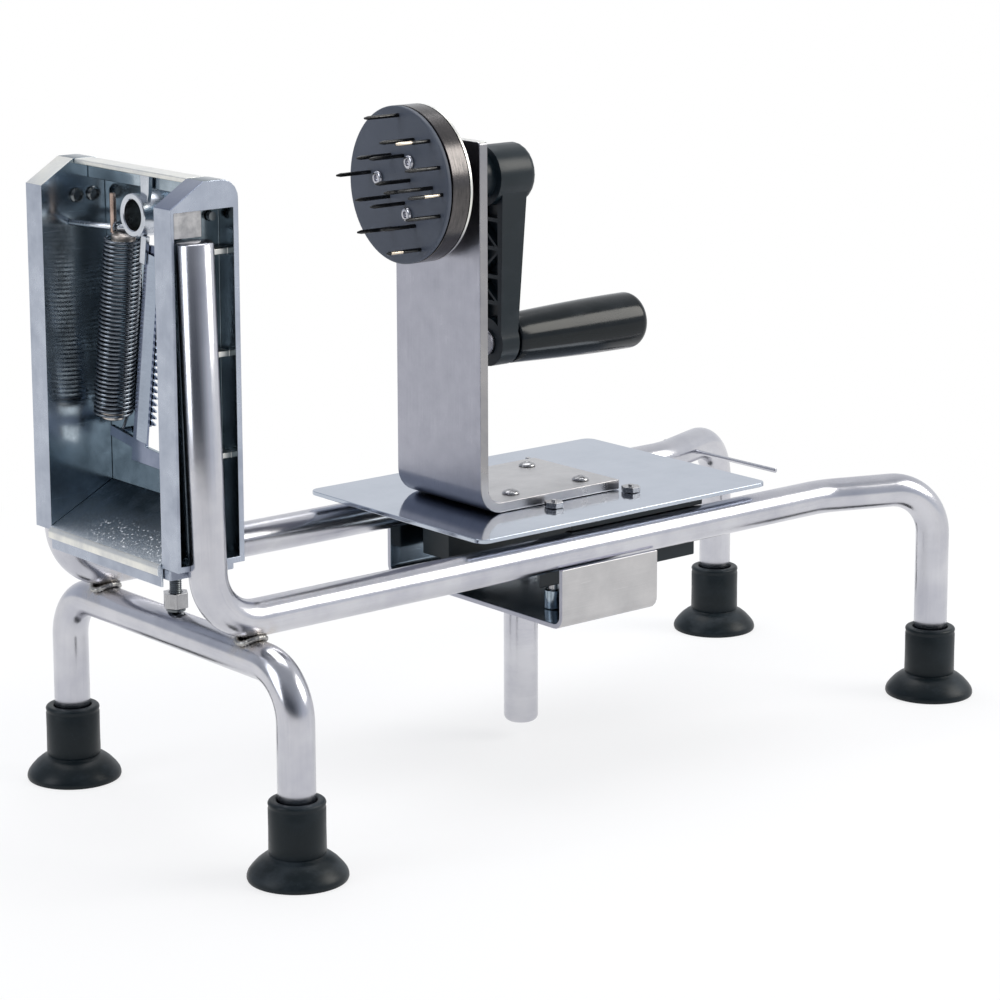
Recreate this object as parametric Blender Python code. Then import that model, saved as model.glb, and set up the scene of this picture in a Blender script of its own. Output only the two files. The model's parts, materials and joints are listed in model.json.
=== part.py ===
import math

import bmesh
import bpy
from mathutils import Matrix, Vector

# Driving dimensions in millimetres: X runs along the rails, Y across, Z up
# X is measured from the left legs, Y from the middle plane, Z from the table
mm = 0.001
centre_x = 187.55
seat_gap = 0.3
overrun = 2.0
rail_height = 103.8
axis_height = 267.3
quarter_degrees = 90
head_flat_share = 0.7
head_edge_share = 0.5

# Tubular stand
tube_radius = 8.0
tube_sides = 16
left_leg_y = 85.5
right_leg_x = 390.5
right_leg_y = 76.0
weld_gap = 0.4
cross_height = rail_height - 2 * tube_radius - weld_gap
rail_y = 55.2
rail_upright_x = -20.3
rail_top_drop = 3.8
rail_top = axis_height - rail_top_drop
rail_bend = 23.4
leg_bend = 21.6
splay_start_x = 334.0
splay_bend = 40.0
tube_end_height = 9.0
weld_y = 5.0
weld_reach = 13.0
weld_degrees = (68, 20)

# Suction feet
cup_radius = 21.2
cup_lip = 1.6
cup_height = 10.2
cup_hollow = 4.2
cup_shares = (0.34, 0.67, 1.0)
hollow_shares = (0.5, 0.7)
sleeve_radius = 12.1
sleeve_top = 33.9
sleeve_round = 1.2
socket_floor = 8.7

# Stop wire through the far rail
wire_x = 356.0
wire_radius = 1.1
wire_inner_y = -3.0
wire_outer_y = 76.0
wire_head_radius = 2.6
wire_head_length = 2.0

# Blade box
box_front_x = -34.7
box_back_x = -1.8
cheek_outer_y = 54.4
cheek_inner_y = 42.2
cheek_web = 1.8
base_lift = 19.6
base_thickness = 4.7
base_bottom = rail_height + base_lift
base_top = base_bottom + base_thickness
cheek_bottom = base_top + seat_gap
cheek_rise = 19.8
cheek_top = axis_height + cheek_rise
cheek_front_drop = 10.1
cheek_chamfer_x = -18.6
cheek_back_round = 8.0
pocket_front_x = -33.1
pocket_back_x = -4.4
pocket_lift = 2.6
pocket_bottom = cheek_bottom + pocket_lift
pocket_top_drop = 11.7
pocket_top = cheek_top - pocket_top_drop
tube_slot = 8.6
rib_shares = (0.28, 0.546, 0.812)
rib_thickness = 2.4
rib_front_x = -13.4
rib_outer_y = 50.0
clamp_front_x = -30.6
clamp_back_x = -17.2
clamp_lift = 0.7
clamp_outer_y = 50.4
wall_screw_x = -17.6
wall_screw_pitch = 8.4
wall_screw_rise = 4.1
wall_screw_radius = 1.8
wall_screw_head = 3.2
wall_screw_head_length = 1.6
wall_screw_length = 4.7
strap_front_x = -18.4
strap_back_x = -9.4
strap_thickness = 2.2
strap_lip = 6.5
base_front_x = -33.4
base_clearance = 0.8
lip_front_x = -36.6
lip_thickness = 1.5
lip_drop = 3.0
lip_rise = 1.1
chute_rise = 18.3
sheet_y = 41.9
back_wall_thickness = 1.4
window_near_y = -35.6
window_far_y = 15.2
window_lift = 28.6
window_drop = 6.7
window_round = 3.0
stud_radius = 2.7
stud_foot_radius = 4.2
stud_foot_height = 1.2
nut_corner_radius = 5.8
nut_height = 6.6

# Coring tube, blade carrier and blades
core_radius = 8.6
core_wall = 2.2
core_front_x = -17.0
core_back_x = 4.0
core_edge_wall = 0.4
core_edge_length = 2.4
carrier_front_x = -11.7
carrier_back_x = -9.9
carrier_tilt_degrees = 8.8
carrier_edge = 2.7
carrier_top_drop = 12.4
carrier_share = 0.774
carrier_drop = (axis_height - cheek_bottom) * carrier_share
carrier_bar = 9.4
carrier_foot = 9.0
carrier_side = 32.6
carrier_screw_shares = (0.198, 0.8865)
carrier_screw_side = 38.6
carrier_post_radius = 2.4
carrier_screw_head = 3.0
carrier_screw_length = 1.4
lug_width = 3.8
lug_drop = 20.0
blade_thickness = 0.9
blade_edge = 13.6
blade_back = 7.0
blade_bevel = 2.2
blade_shares = (0.1395, 0.8985)
comb_thickness = 0.8
comb_root = 7.4
comb_gullet = 12.0
comb_tip = 15.2
comb_shares = (0.186, 0.837)
comb_teeth = 24
tooth_shares = (0.25, 0.5, 0.75)

# Tension spring
spring_x = -12.9
spring_top_y = 13.6
spring_top_drop = 11.1
spring_bottom_shift = 1.5
spring_bottom_rise = 8.4
spring_radius = 7.9
spring_wire = 0.66
spring_curls = 42
spring_curl_points = 8
spring_rod_radius = 1.3
spring_rod_x = -21.0
spring_rod_drop = 7.1
spring_rod_overhang = 1.6
spring_post_y = 18.8
spring_post_radius = 1.4
spring_post_rise = 7.3
spring_post_foot = 9.6
hook_reach = 2.4
hook_gap = 0.42
upper_hook_degrees = (215, -35)
hook_shift = 4.4
hook_side = 11.4
hook_foot = 7.9
hook_pin_radius = 1.5
hook_arm_side = 14.6
hook_arm_half = 2.3
lower_hook_degrees = (145, 395)

# Sliding carriage
plate_front_x = 117.0
plate_back_x = 290.6
plate_half_y = 63.2
plate_rise = 15.2
plate_top = rail_height + plate_rise
plate_thickness = 2.0
plate_corner = 5.0
block_front_x = 176.0
block_back_x = 256.0
block_inner_y = 32.6
block_inner_drop = 22.6
block_low_inner = rail_height - block_inner_drop
block_outer_drop = 16.4
block_low_outer = rail_height - block_outer_drop
near_lip_y = 50.0
far_lip_y = 52.2
block_crown_y = 55.2
groove_clearance = 0.4
groove_radius = tube_radius + groove_clearance
channel_front_x = 163.2
channel_back_x = 220.6
channel_sheet = 2.2
channel_half_y = rail_y + tube_radius
channel_drop = 33.9
channel_bottom = rail_height - channel_drop
channel_bend = 6.0
channel_top = rail_height - math.sqrt(groove_radius ** 2 - (tube_radius - channel_sheet) ** 2)
bracket_front_x = 144.0
bracket_sheet = 4.6
bracket_half_y = 30.0
bracket_rise = 20.0
bracket_top = axis_height + bracket_rise
bracket_bend = 12.0
bracket_foot_x = 227.0
bracket_corner = 1.6
rivet_x = (170.6, 212.7)
rivet_y = 19.0
rivet_radius = 2.4
rivet_head = 4.0
rivet_head_height = 1.7
rivet_shares = ((0.85, 0.6), (0.4, 1.0))
screw_x = (181.4, 228.2)
screw_y = 36.6
screw_radius = 2.6
screw_flats_radius = 4.6
screw_head_height = 2.4
screw_nut_height = 3.6
screw_end = 0.7
screw_tip_radius = 1.2
screw_tip_height = 3.3
handle_x = 192.6
handle_radius = 8.0
handle_bottom = 8.0
handle_round = 3.0

# Pronged disc on its spindle
disc_front_x = 122.1
disc_radius = 35.1
disc_sides = 36
face_thickness = 2.2
face_round = 0.7
cup_back_x = 136.8
cup_edge = 0.9
spindle_radius = 5.0
spindle_front_x = 126.0
spindle_back_x = 184.6
bush_front_x = 138.0
bush_bore = 5.3
bush_outer = 8.6
bush_neck = 7.4
prong_radius = 0.9
prong_root_x = 128.0
prong_tip_x = 103.2
prong_ring_radii = (8.6, 14.0, 20.5, 24.0, 31.0)
prong_ring_degrees = ((160, 241, 319), (68, 106, 182), (11, 235, 285), (118, 177),
                      (91, 136, 160, 182, 200, 240))
disc_screw_ring = 14.0
disc_screw_degrees = (8, 128, 241)
disc_screw_radius = 3.2
disc_screw_height = 1.3

# Crank and grip
hub_outer_x = 191.4
hub_inner_x = 170.0
hub_radius = 13.9
hub_round = 3.4
boss_inner_x = 149.5
boss_radius = 10.4
arm_drop = 76.3
arm_outer_top_x = 187.4
arm_outer_low_x = 182.4
arm_inner_x = 172.6
arm_half_top = 11.6
arm_half_low = 10.0
arm_end_radius = 11.3
arm_pocket = 5.4
arm_wall = 2.2
arm_rib = 1.8
arm_rib_shares = (0.262, 0.4325, 0.603, 0.76)
arm_hollow_share = 0.6
hub_recess_radius = 8.4
hub_recess_depth = 6.8
cap_flats_radius = 7.2
cap_height = 4.4
cap_shares = (0.8, 1.3, 1.45)
pin_radius = 4.0
pin_head_radius = 6.0
pin_head_length = 1.4
pin_end_x = 250.0
grip_front_x = 184.4
grip_back_x = 262.0
grip_bore = 4.3
grip_bore_end_x = 252.0
grip_root_radius = 11.3
grip_wide_radius = 13.3
grip_round = 5.0
grip_shares = (0.25, 0.5, 0.75)
arc_steps = 8

materials = {
    "tube_steel": ((0.80, 0.80, 0.83), 0.16, 1.0),
    "polished_steel": ((0.74, 0.76, 0.80), 0.10, 1.0),
    "brushed_steel": ((0.62, 0.62, 0.66), 0.34, 1.0),
    "spring_steel": ((0.60, 0.62, 0.68), 0.24, 1.0),
    "black_rubber": ((0.018, 0.021, 0.025), 0.62, 0.0),
    "black_plastic": ((0.020, 0.023, 0.028), 0.38, 0.0),
    "grey_face": ((0.075, 0.085, 0.105), 0.45, 0.0),
}


# Scene upkeep
def clear_scene():
    for item in list(bpy.data.objects):
        bpy.data.objects.remove(item, do_unlink=True)
    for group in list(bpy.data.collections):
        bpy.data.collections.remove(group)


def new_collection(name, hidden=False):
    group = bpy.data.collections.new(name)
    group.hide_render = hidden
    bpy.context.scene.collection.children.link(group)
    return group


def make_material(name):
    colour, roughness, metallic = materials[name]
    surface = bpy.data.materials.new(name)
    surface.use_nodes = True
    shader = surface.node_tree.nodes["Principled BSDF"]
    shader.inputs["Base Color"].default_value = (*colour, 1.0)
    shader.inputs["Roughness"].default_value = roughness
    shader.inputs["Metallic"].default_value = metallic
    surface.diffuse_color = (*colour, 1.0)
    surface.roughness = roughness
    surface.metallic = metallic
    return surface


def point(x, y, z):
    return Vector(((x - centre_x) * mm, y * mm, z * mm))


# An object takes its verts in row millimetres and sits with its origin at pivot
def add_object(name, verts, faces, group, pivot=None):
    start = point(*pivot) if pivot else Vector((0, 0, 0))
    mesh = bpy.data.meshes.new(name)
    mesh.from_pydata([tuple(point(*vert) - start) for vert in verts], [], faces)
    shape = bmesh.new()
    shape.from_mesh(mesh)
    bmesh.ops.remove_doubles(shape, verts=shape.verts, dist=1e-6)
    bmesh.ops.recalc_face_normals(shape, faces=shape.faces)
    shape.to_mesh(mesh)
    shape.free()
    item = bpy.data.objects.new(name, mesh)
    item.location = start
    group.objects.link(item)
    return item


def add_part(name, shape, material, pivot=None):
    verts, faces = shape
    item = add_object(name, verts, faces, part_group, pivot)
    item.data.materials.append(surfaces[material])
    return item


def add_cutter(name, shape):
    verts, faces = shape
    item = add_object(name, verts, faces, cutter_group)
    item.display_type = "WIRE"
    item.hide_render = True
    return item


def combine(item, other, operation):
    modifier = item.modifiers.new(other.name, "BOOLEAN")
    modifier.operation = operation
    modifier.object = other
    modifier.solver = "EXACT"


def cut(item, name, shape):
    combine(item, add_cutter(name, shape), "DIFFERENCE")


def fuse(item, name, shape):
    combine(item, add_cutter(name, shape), "UNION")


# Outlines
def arc(centre, radius, start, end, steps=arc_steps):
    angles = [start + (end - start) * step / steps for step in range(steps + 1)]
    return [(centre[0] + radius * math.cos(math.radians(angle)),
             centre[1] + radius * math.sin(math.radians(angle))) for angle in angles]


def rounded(corners, radii, steps=5):
    outline = []
    for index, corner in enumerate(corners):
        radius = radii[index] if isinstance(radii, (list, tuple)) else radii
        if radius == 0:
            outline.append(corner)
            continue
        here = Vector(corner)
        before = (Vector(corners[index - 1]) - here).normalized()
        after = (Vector(corners[(index + 1) % len(corners)]) - here).normalized()
        reach = radius / math.tan(before.angle(after) / 2)
        first, last = here + before * reach, here + after * reach
        middle = here + (before + after).normalized() * math.hypot(reach, radius)
        for step in range(steps + 1):
            blend = first.lerp(last, step / steps) - middle
            outline.append(tuple(middle + blend.normalized() * radius))
    return outline


def rectangle(left, right, low, high):
    return [(left, low), (right, low), (right, high), (left, high)]


def circle(centre, radius, sides=24):
    angles = [math.tau * step / sides for step in range(sides)]
    return [(centre[0] + radius * math.cos(angle), centre[1] + radius * math.sin(angle)) for angle in angles]


def hexagon(centre, radius):
    return circle(centre, radius, 6)


# Solids: each gives its verts in millimetres and its faces
def to_axis(axis, along, first, second):
    if axis == "x":
        return (along, first, second)
    if axis == "y":
        return (first, along, second)
    return (first, second, along)


def prism(outline, axis, start, end):
    count = len(outline)
    verts = [to_axis(axis, start, *spot) for spot in outline]
    verts += [to_axis(axis, end, *spot) for spot in outline]
    faces = [tuple(range(count)), tuple(range(count, 2 * count))[::-1]]
    for index in range(count):
        after = (index + 1) % count
        faces.append((index, after, count + after, count + index))
    return verts, faces


def box(x_range, y_range, z_range):
    return prism(rectangle(*x_range, *y_range), "z", *z_range)


# A profile of (along, radius) pairs turned about an axis line, with a flat face over a flat end
def turned(profile, axis, centre, sides=24):
    flat_start = profile[0][1] == 0 and profile[0][0] == profile[1][0]
    flat_end = profile[-1][1] == 0 and profile[-1][0] == profile[-2][0]
    pairs = profile[1 if flat_start else 0:len(profile) - 1 if flat_end else len(profile)]
    verts, rings, faces = [], [], []
    for along, radius in pairs:
        spots = circle(centre, radius, sides) if radius else [centre]
        rings.append(list(range(len(verts), len(verts) + len(spots))))
        verts += [to_axis(axis, along, *spot) for spot in spots]
    steps = list(zip(rings, rings[1:]))
    if profile[0][1] and profile[-1][1]:
        steps.append((rings[-1], rings[0]))
    for ring, other in steps:
        for index in range(sides):
            after = (index + 1) % sides
            if len(ring) == 1:
                faces.append((ring[0], other[index], other[after]))
            elif len(other) == 1:
                faces.append((ring[index], ring[after], other[0]))
            else:
                faces.append((ring[index], ring[after], other[after], other[index]))
    if flat_start:
        faces.append(tuple(rings[0]))
    if flat_end:
        faces.append(tuple(rings[-1]))
    return verts, faces


def rod(axis, start, end, radius, centre, sides=24):
    return turned([(start, 0), (start, radius), (end, radius), (end, 0)], axis, centre, sides)


# A closed pipe of one radius along points, with flat ends
def swept(path, radius, sides):
    spots = [Vector(spot) for spot in path]
    verts, faces = [], []
    normal = None
    for index, spot in enumerate(spots):
        ahead = spots[min(index + 1, len(spots) - 1)] - spot
        behind = spot - spots[max(index - 1, 0)]
        tangent = (ahead.normalized() + behind.normalized()).normalized()
        if normal is None:
            normal = tangent.orthogonal().normalized()
        normal = (normal - tangent * normal.dot(tangent)).normalized()
        side = tangent.cross(normal)
        for turn in range(sides):
            angle = math.tau * turn / sides
            verts.append(tuple(spot + radius * (normal * math.cos(angle) + side * math.sin(angle))))
    for index in range(len(spots) - 1):
        for turn in range(sides):
            after = (turn + 1) % sides
            base, top = index * sides, (index + 1) * sides
            faces.append((base + turn, base + after, top + after, top + turn))
    faces.append(tuple(range(sides))[::-1])
    faces.append(tuple(range((len(spots) - 1) * sides, len(spots) * sides)))
    return verts, faces


# A bent route: straight runs between corners, each corner an arc of its own radius
def bent_route(corners, bends, steps=8):
    route = [Vector(corners[0])]
    for index in range(1, len(corners) - 1):
        here = Vector(corners[index])
        before = (Vector(corners[index - 1]) - here).normalized()
        after = (Vector(corners[index + 1]) - here).normalized()
        half = before.angle(after) / 2
        reach = bends[index - 1] / math.tan(half)
        middle = here + (before + after).normalized() * (bends[index - 1] / math.sin(half))
        first, last = here + before * reach - middle, here + after * reach - middle
        turn = first.angle(last)
        for step in range(steps + 1):
            share = step / steps
            blend = (first * math.sin((1 - share) * turn) + last * math.sin(share * turn)) / math.sin(turn)
            route.append(middle + blend)
    route.append(Vector(corners[-1]))
    return route


# Stand: two rails, each with its own right leg, over one bent cross leg
def build_rail(name, side):
    corners = [(rail_upright_x, side * rail_y, rail_top),
               (rail_upright_x, side * rail_y, rail_height),
               (splay_start_x, side * rail_y, rail_height),
               (right_leg_x, side * right_leg_y, rail_height),
               (right_leg_x, side * right_leg_y, tube_end_height)]
    route = bent_route(corners, (rail_bend, splay_bend, rail_bend))
    return add_part(name, swept(route, tube_radius, tube_sides), "tube_steel")


def build_cross_leg():
    corners = [(0, -left_leg_y, tube_end_height), (0, -left_leg_y, cross_height),
               (0, left_leg_y, cross_height), (0, left_leg_y, tube_end_height)]
    route = bent_route(corners, (leg_bend, leg_bend))
    add_part("cross_leg", swept(route, tube_radius, tube_sides), "tube_steel")


def build_foot(name, x, y):
    bore = tube_radius + seat_gap
    profile = [(socket_floor, 0), (socket_floor, bore), (sleeve_top, bore),
               (sleeve_top, sleeve_radius - sleeve_round),
               (sleeve_top - sleeve_round, sleeve_radius),
               (cup_height + sleeve_round, sleeve_radius)]
    flare = cup_radius - sleeve_radius
    for share in cup_shares:
        drop = (cup_height - cup_lip) * (1 - math.cos(share * math.pi / 2))
        profile.append((cup_height - drop, sleeve_radius + flare * math.sin(share * math.pi / 2)))
    profile += [(0, cup_radius - cup_lip / 2), (0, cup_radius - 2 * cup_lip),
                (cup_hollow * hollow_shares[1], cup_radius * hollow_shares[0]), (cup_hollow, 0)]
    add_part(name, turned(profile, "z", (x, y), 24), "black_rubber")


# The weld fills the corner between a rail's underside and the cross leg
def build_weld(name, side):
    fill = tube_radius + weld_gap / 2
    outline = arc((0, cross_height), fill, *weld_degrees, 6)
    outline += [(weld_reach, rail_height - fill)]
    y = side * rail_y
    add_part(name, prism(outline, "y", y - weld_y, y + weld_y), "tube_steel")


def build_wire():
    shaft = [(wire_inner_y, 0), (wire_inner_y, wire_radius), (wire_outer_y, wire_radius),
             (wire_outer_y, wire_head_radius), (wire_outer_y + wire_head_length, wire_head_radius),
             (wire_outer_y + wire_head_length, 0)]
    pivot = (wire_x, wire_outer_y, rail_height)
    add_part("stop_wire", turned(shaft, "y", (wire_x, rail_height), 12), "tube_steel", pivot)


def build_stand():
    build_rail("near_rail", -1)
    far_rail = build_rail("far_rail", 1)
    bore = rod("y", rail_y - tube_radius, right_leg_y + tube_radius, wire_radius + seat_gap,
               (wire_x, rail_height), 12)
    cut(far_rail, "wire_bore", bore)
    build_cross_leg()
    build_weld("near_weld", -1)
    build_weld("far_weld", 1)
    build_foot("left_near_foot", 0, -left_leg_y)
    build_foot("left_far_foot", 0, left_leg_y)
    build_foot("right_near_foot", right_leg_x, -right_leg_y)
    build_foot("right_far_foot", right_leg_x, right_leg_y)
    build_wire()


# Cheek: a thick plate, hollowed from outside for the rail that stands in it
def build_cheek(name, side):
    corners = [(box_front_x, cheek_bottom), (box_back_x, cheek_bottom), (box_back_x, cheek_top),
               (cheek_chamfer_x, cheek_top), (box_front_x, cheek_top - cheek_front_drop)]
    outline = rounded(corners, [0, 0, cheek_back_round, 0, 0])
    faces = (side * cheek_inner_y, side * cheek_outer_y)
    item = add_part(name, prism(outline, "y", *faces), "polished_steel")
    web = side * (cheek_inner_y + cheek_web)
    beyond = side * (cheek_outer_y + cheek_web)
    pocket = prism(rectangle(pocket_front_x, pocket_back_x, pocket_bottom, pocket_top), "y", web, beyond)
    cut(item, name + "_pocket", pocket)
    slot = box((rail_upright_x - tube_slot, rail_upright_x + tube_slot),
               sorted((side * (rail_y - tube_slot), beyond)),
               (cheek_bottom - cheek_web, pocket_bottom + cheek_web))
    cut(item, name + "_tube_slot", slot)
    for number, share in enumerate(rib_shares):
        low = cheek_bottom + share * (cheek_top - cheek_bottom) - rib_thickness / 2
        rib = box((rib_front_x, pocket_back_x + cheek_web),
                  sorted((web - side * cheek_web / 2, side * rib_outer_y)), (low, low + rib_thickness))
        fuse(item, name + "_rib_%d" % number, rib)
    clamp = box((clamp_front_x, clamp_back_x),
                sorted((web - side * cheek_web / 2, side * clamp_outer_y)),
                (rail_top + clamp_lift, pocket_top + cheek_web))
    fuse(item, name + "_clamp", clamp)
    return item


def build_wall_screws(cheek, name, side):
    inner = side * cheek_inner_y
    for number in range(2):
        centre = (wall_screw_x + number * wall_screw_pitch, axis_height + wall_screw_rise)
        bore = rod("y", inner - side * overrun, inner + side * (wall_screw_length + overrun),
                   wall_screw_radius + seat_gap, centre, 12)
        cut(cheek, name + "_bore_%d" % number, bore)
        head = inner - side * seat_gap
        outer = inner + side * wall_screw_length
        profile = [(head - side * wall_screw_head_length, 0),
                   (head - side * wall_screw_head_length, wall_screw_head * head_flat_share),
                   (head - side * wall_screw_head_length * head_edge_share, wall_screw_head),
                   (head, wall_screw_head), (head, wall_screw_radius),
                   (outer, wall_screw_radius), (outer, 0)]
        add_part(name + "_%d" % (number + 1), turned(profile, "y", centre, 12), "brushed_steel")


def build_box_shell():
    for label, side in (("near", -1), ("far", 1)):
        cheek = build_cheek(label + "_cheek", side)
        build_wall_screws(cheek, label + "_wall_screw", side)
    low = cheek_top - strap_thickness
    strap = rectangle(-sheet_y, sheet_y, low, cheek_top)
    item = add_part("top_strap", prism(strap, "x", strap_front_x, strap_back_x), "polished_steel")
    lip = box((strap_back_x - strap_thickness, strap_back_x), (-sheet_y, sheet_y),
              (low - strap_lip, low + strap_thickness / 2))
    fuse(item, "strap_lip", lip)
    wall = rectangle(-sheet_y, sheet_y, base_top + seat_gap, cheek_top)
    inner = box_back_x - back_wall_thickness
    item = add_part("back_wall", prism(wall, "x", inner, box_back_x), "polished_steel")
    window = rectangle(window_near_y, window_far_y, cheek_bottom + window_lift, cheek_top - window_drop)
    window = rounded(window, window_round)
    cut(item, "food_window", prism(window, "x", inner - overrun, box_back_x + overrun))


# Base: plate under the cheeks, slanted chute with a folded lip, a threaded stud on the cross leg
def build_base():
    half = rail_y - tube_radius - base_clearance
    base = box((base_front_x, box_back_x), (-half, half), (base_bottom, base_top))
    add_part("base_plate", base, "brushed_steel")
    back = box_back_x - back_wall_thickness - seat_gap
    low, high = base_bottom - lip_drop, base_top + lip_rise
    chute = [(lip_front_x, low), (lip_front_x + lip_thickness, low),
             (lip_front_x + lip_thickness, high - lip_thickness),
             (back, base_top + chute_rise - lip_thickness), (back, base_top + chute_rise),
             (lip_front_x, high)]
    add_part("chute_floor", prism(chute, "y", -sheet_y, sheet_y), "polished_steel")
    foot = cross_height + tube_radius + seat_gap
    shoulder = foot + stud_foot_height
    stud = [(foot, 0), (foot, stud_foot_radius), (shoulder, stud_foot_radius), (shoulder, stud_radius),
            (base_bottom - seat_gap, stud_radius), (base_bottom - seat_gap, 0)]
    add_part("base_stud", turned(stud, "z", (0, 0), 16), "brushed_steel")
    low = shoulder + seat_gap
    nut = prism(hexagon((0, 0), nut_corner_radius), "z", low, low + nut_height)
    nut = add_part("base_stud_nut", nut, "brushed_steel")
    bore = rod("z", low - overrun, low + nut_height + overrun, stud_radius + seat_gap, (0, 0), 16)
    cut(nut, "stud_nut_bore", bore)


# Places on the tilted carrier, u across and v up from the crank axis
def tilted(u, v):
    tilt = math.radians(carrier_tilt_degrees)
    cosine, sine = math.cos(tilt), math.sin(tilt)
    return (u * cosine - v * sine, axis_height + u * sine + v * cosine)


def build_coring_tube():
    edge = core_back_x - core_edge_length
    inner = core_radius - core_wall
    profile = [(core_front_x, inner), (core_front_x, core_radius), (edge, core_radius),
               (core_back_x, inner + core_edge_wall), (core_back_x, inner)]
    item = add_part("coring_tube", turned(profile, "x", (0, axis_height), 28), "polished_steel")
    front = carrier_front_x - seat_gap - core_wall
    left = -carrier_edge - lug_width
    top = -core_radius + core_wall / 2
    corners = ((left, top), (left, -lug_drop), (-carrier_edge, -lug_drop), (-carrier_edge, top))
    lug = prism([tilted(*corner) for corner in corners], "x", front, front + core_wall)
    fuse(item, "core_lug", lug)


def build_carrier():
    top_left = tilted(-carrier_edge, -carrier_top_drop)
    low_left = tilted(-carrier_edge, -carrier_drop)
    low_near = tilted(-sheet_y, -carrier_drop)
    outline = [top_left, low_left, (-sheet_y, low_near[1] + carrier_foot / 2), (-sheet_y, top_left[1])]
    item = add_part("blade_carrier", prism(outline, "x", carrier_front_x, carrier_back_x), "polished_steel")
    left = -carrier_edge - carrier_bar
    upper = -carrier_top_drop - carrier_foot
    lower = carrier_foot - carrier_drop
    window = [tilted(left, upper), tilted(left, lower), (-carrier_side, tilted(-carrier_side, lower)[1]),
              (-carrier_side, tilted(left, upper)[1])]
    deep = (carrier_front_x - overrun, carrier_back_x + overrun)
    cut(item, "carrier_window", prism(window, "x", *deep))
    start = -carrier_edge - lug_width
    low, high = hook_foot - carrier_drop - hook_arm_half, hook_foot - carrier_drop + hook_arm_half
    arm = [tilted(start, high), tilted(start, low), tilted(hook_arm_side, low), tilted(hook_arm_side, high)]
    fuse(item, "spring_arm", prism(arm, "x", carrier_front_x, carrier_back_x))
    end = box_back_x - back_wall_thickness - seat_gap
    middle = (carrier_front_x + carrier_back_x) / 2
    fuse(item, "spring_pin", rod("x", middle, end, hook_pin_radius, hook_centre(), 12))
    for number, share in enumerate(carrier_screw_shares):
        centre = (-carrier_screw_side, axis_height - share * carrier_drop)
        cut(item, "carrier_bore_%d" % number, rod("x", *deep, carrier_post_radius, centre, 12))
        head = carrier_front_x - seat_gap
        shaft = carrier_post_radius - seat_gap
        profile = [(head - carrier_screw_length, 0),
                   (head - carrier_screw_length, carrier_screw_head * head_flat_share),
                   (head - carrier_screw_length * head_edge_share, carrier_screw_head),
                   (head, carrier_screw_head), (head, shaft),
                   (carrier_back_x + seat_gap, shaft), (carrier_back_x + seat_gap, carrier_screw_head),
                   (end, carrier_screw_head), (end, 0)]
        add_part("carrier_post_%d" % (number + 1), turned(profile, "x", centre, 16), "brushed_steel")


def build_blades():
    front = carrier_front_x - seat_gap
    verts = []
    for share in blade_shares:
        for u, x in ((-blade_back, front), (-blade_edge, front),
                     (blade_bevel - blade_edge, front - blade_thickness),
                     (-blade_back, front - blade_thickness)):
            verts.append((x, *tilted(u, -share * carrier_drop)))
    faces = [(0, 1, 2, 3), (7, 6, 5, 4), (0, 4, 5, 1), (1, 5, 6, 2), (2, 6, 7, 3), (3, 7, 4, 0)]
    add_part("flat_blade", (verts, faces), "polished_steel")
    top, foot = (-share * carrier_drop for share in comb_shares)
    pitch = (foot - top) / comb_teeth
    outline = [tilted(-comb_root, top)]
    for tooth in range(comb_teeth):
        start = top + pitch * tooth
        outline.append(tilted(-comb_gullet, start))
        outline.append(tilted(-comb_tip, start + pitch * tooth_shares[0]))
        outline.append(tilted(-comb_tip, start + pitch * tooth_shares[1]))
        outline.append(tilted(-comb_gullet, start + pitch * tooth_shares[2]))
    outline.append(tilted(-comb_gullet, foot))
    outline.append(tilted(-comb_root, foot))
    start = carrier_back_x + seat_gap
    add_part("comb_blade", prism(outline, "x", start, start + comb_thickness), "brushed_steel")


# Tension spring: one round wire, hooked over the rod above and the carrier's pin below
def hook_centre():
    return tilted(hook_side, hook_foot - carrier_drop)


def rod_ends():
    height = axis_height - spring_rod_drop
    return Vector((spring_rod_x, sheet_y, height)), Vector((spring_x, spring_top_y, height))


def spring_route():
    pin_y, pin_z = hook_centre()
    top = Vector((spring_x, spring_top_y, axis_height - spring_top_drop))
    bottom = Vector((spring_x, pin_y - spring_bottom_shift, pin_z + spring_bottom_rise))
    down = (bottom - top).normalized()
    across = Vector((1, 0, 0))
    side = down.cross(across)
    count = spring_curls * spring_curl_points
    far_end, near_end = rod_ends()
    upper = near_end + (far_end - near_end) * hook_reach / (sheet_y - spring_top_y)
    reach = spring_rod_radius + spring_wire + hook_gap
    route = [upper + Vector((x, 0, z)) for x, z in arc((0, 0), reach, *upper_hook_degrees, 7)]
    for step in range(count + 1):
        angle = math.tau * step / spring_curl_points
        ring = across * math.cos(angle) + side * math.sin(angle)
        route.append(top + (bottom - top) * step / count + ring * spring_radius)
    lower = Vector((spring_x + hook_shift, pin_y, pin_z))
    reach = hook_pin_radius + spring_wire + seat_gap
    route += [lower + Vector((0, y, z)) for y, z in arc((0, 0), reach, *lower_hook_degrees, 7)]
    return route


def report_spring(route):
    least = None
    for index, spot in enumerate(route):
        for other in route[index + spring_curl_points - 3:index + 2 * spring_curl_points]:
            gap = (spot - other).length - 2 * spring_wire
            least = gap if least is None else min(least, gap)
    print("spring least gap to itself, mm: %.3f" % least)


def build_spring():
    route = spring_route()
    report_spring(route)
    add_part("tension_spring", swept(route, spring_wire, 6), "spring_steel")
    far_end, near_end = rod_ends()
    near_end += (near_end - far_end).normalized() * spring_rod_overhang
    item = add_part("spring_rod", swept([far_end, near_end], spring_rod_radius, 12), "brushed_steel")
    share = (sheet_y - spring_post_y) / (sheet_y - near_end.y)
    centre = far_end.lerp(near_end, share)
    post = rod("z", axis_height - spring_post_foot, axis_height + spring_post_rise, spring_post_radius,
               (centre.x, centre.y), 12)
    fuse(item, "spring_post", post)


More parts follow.
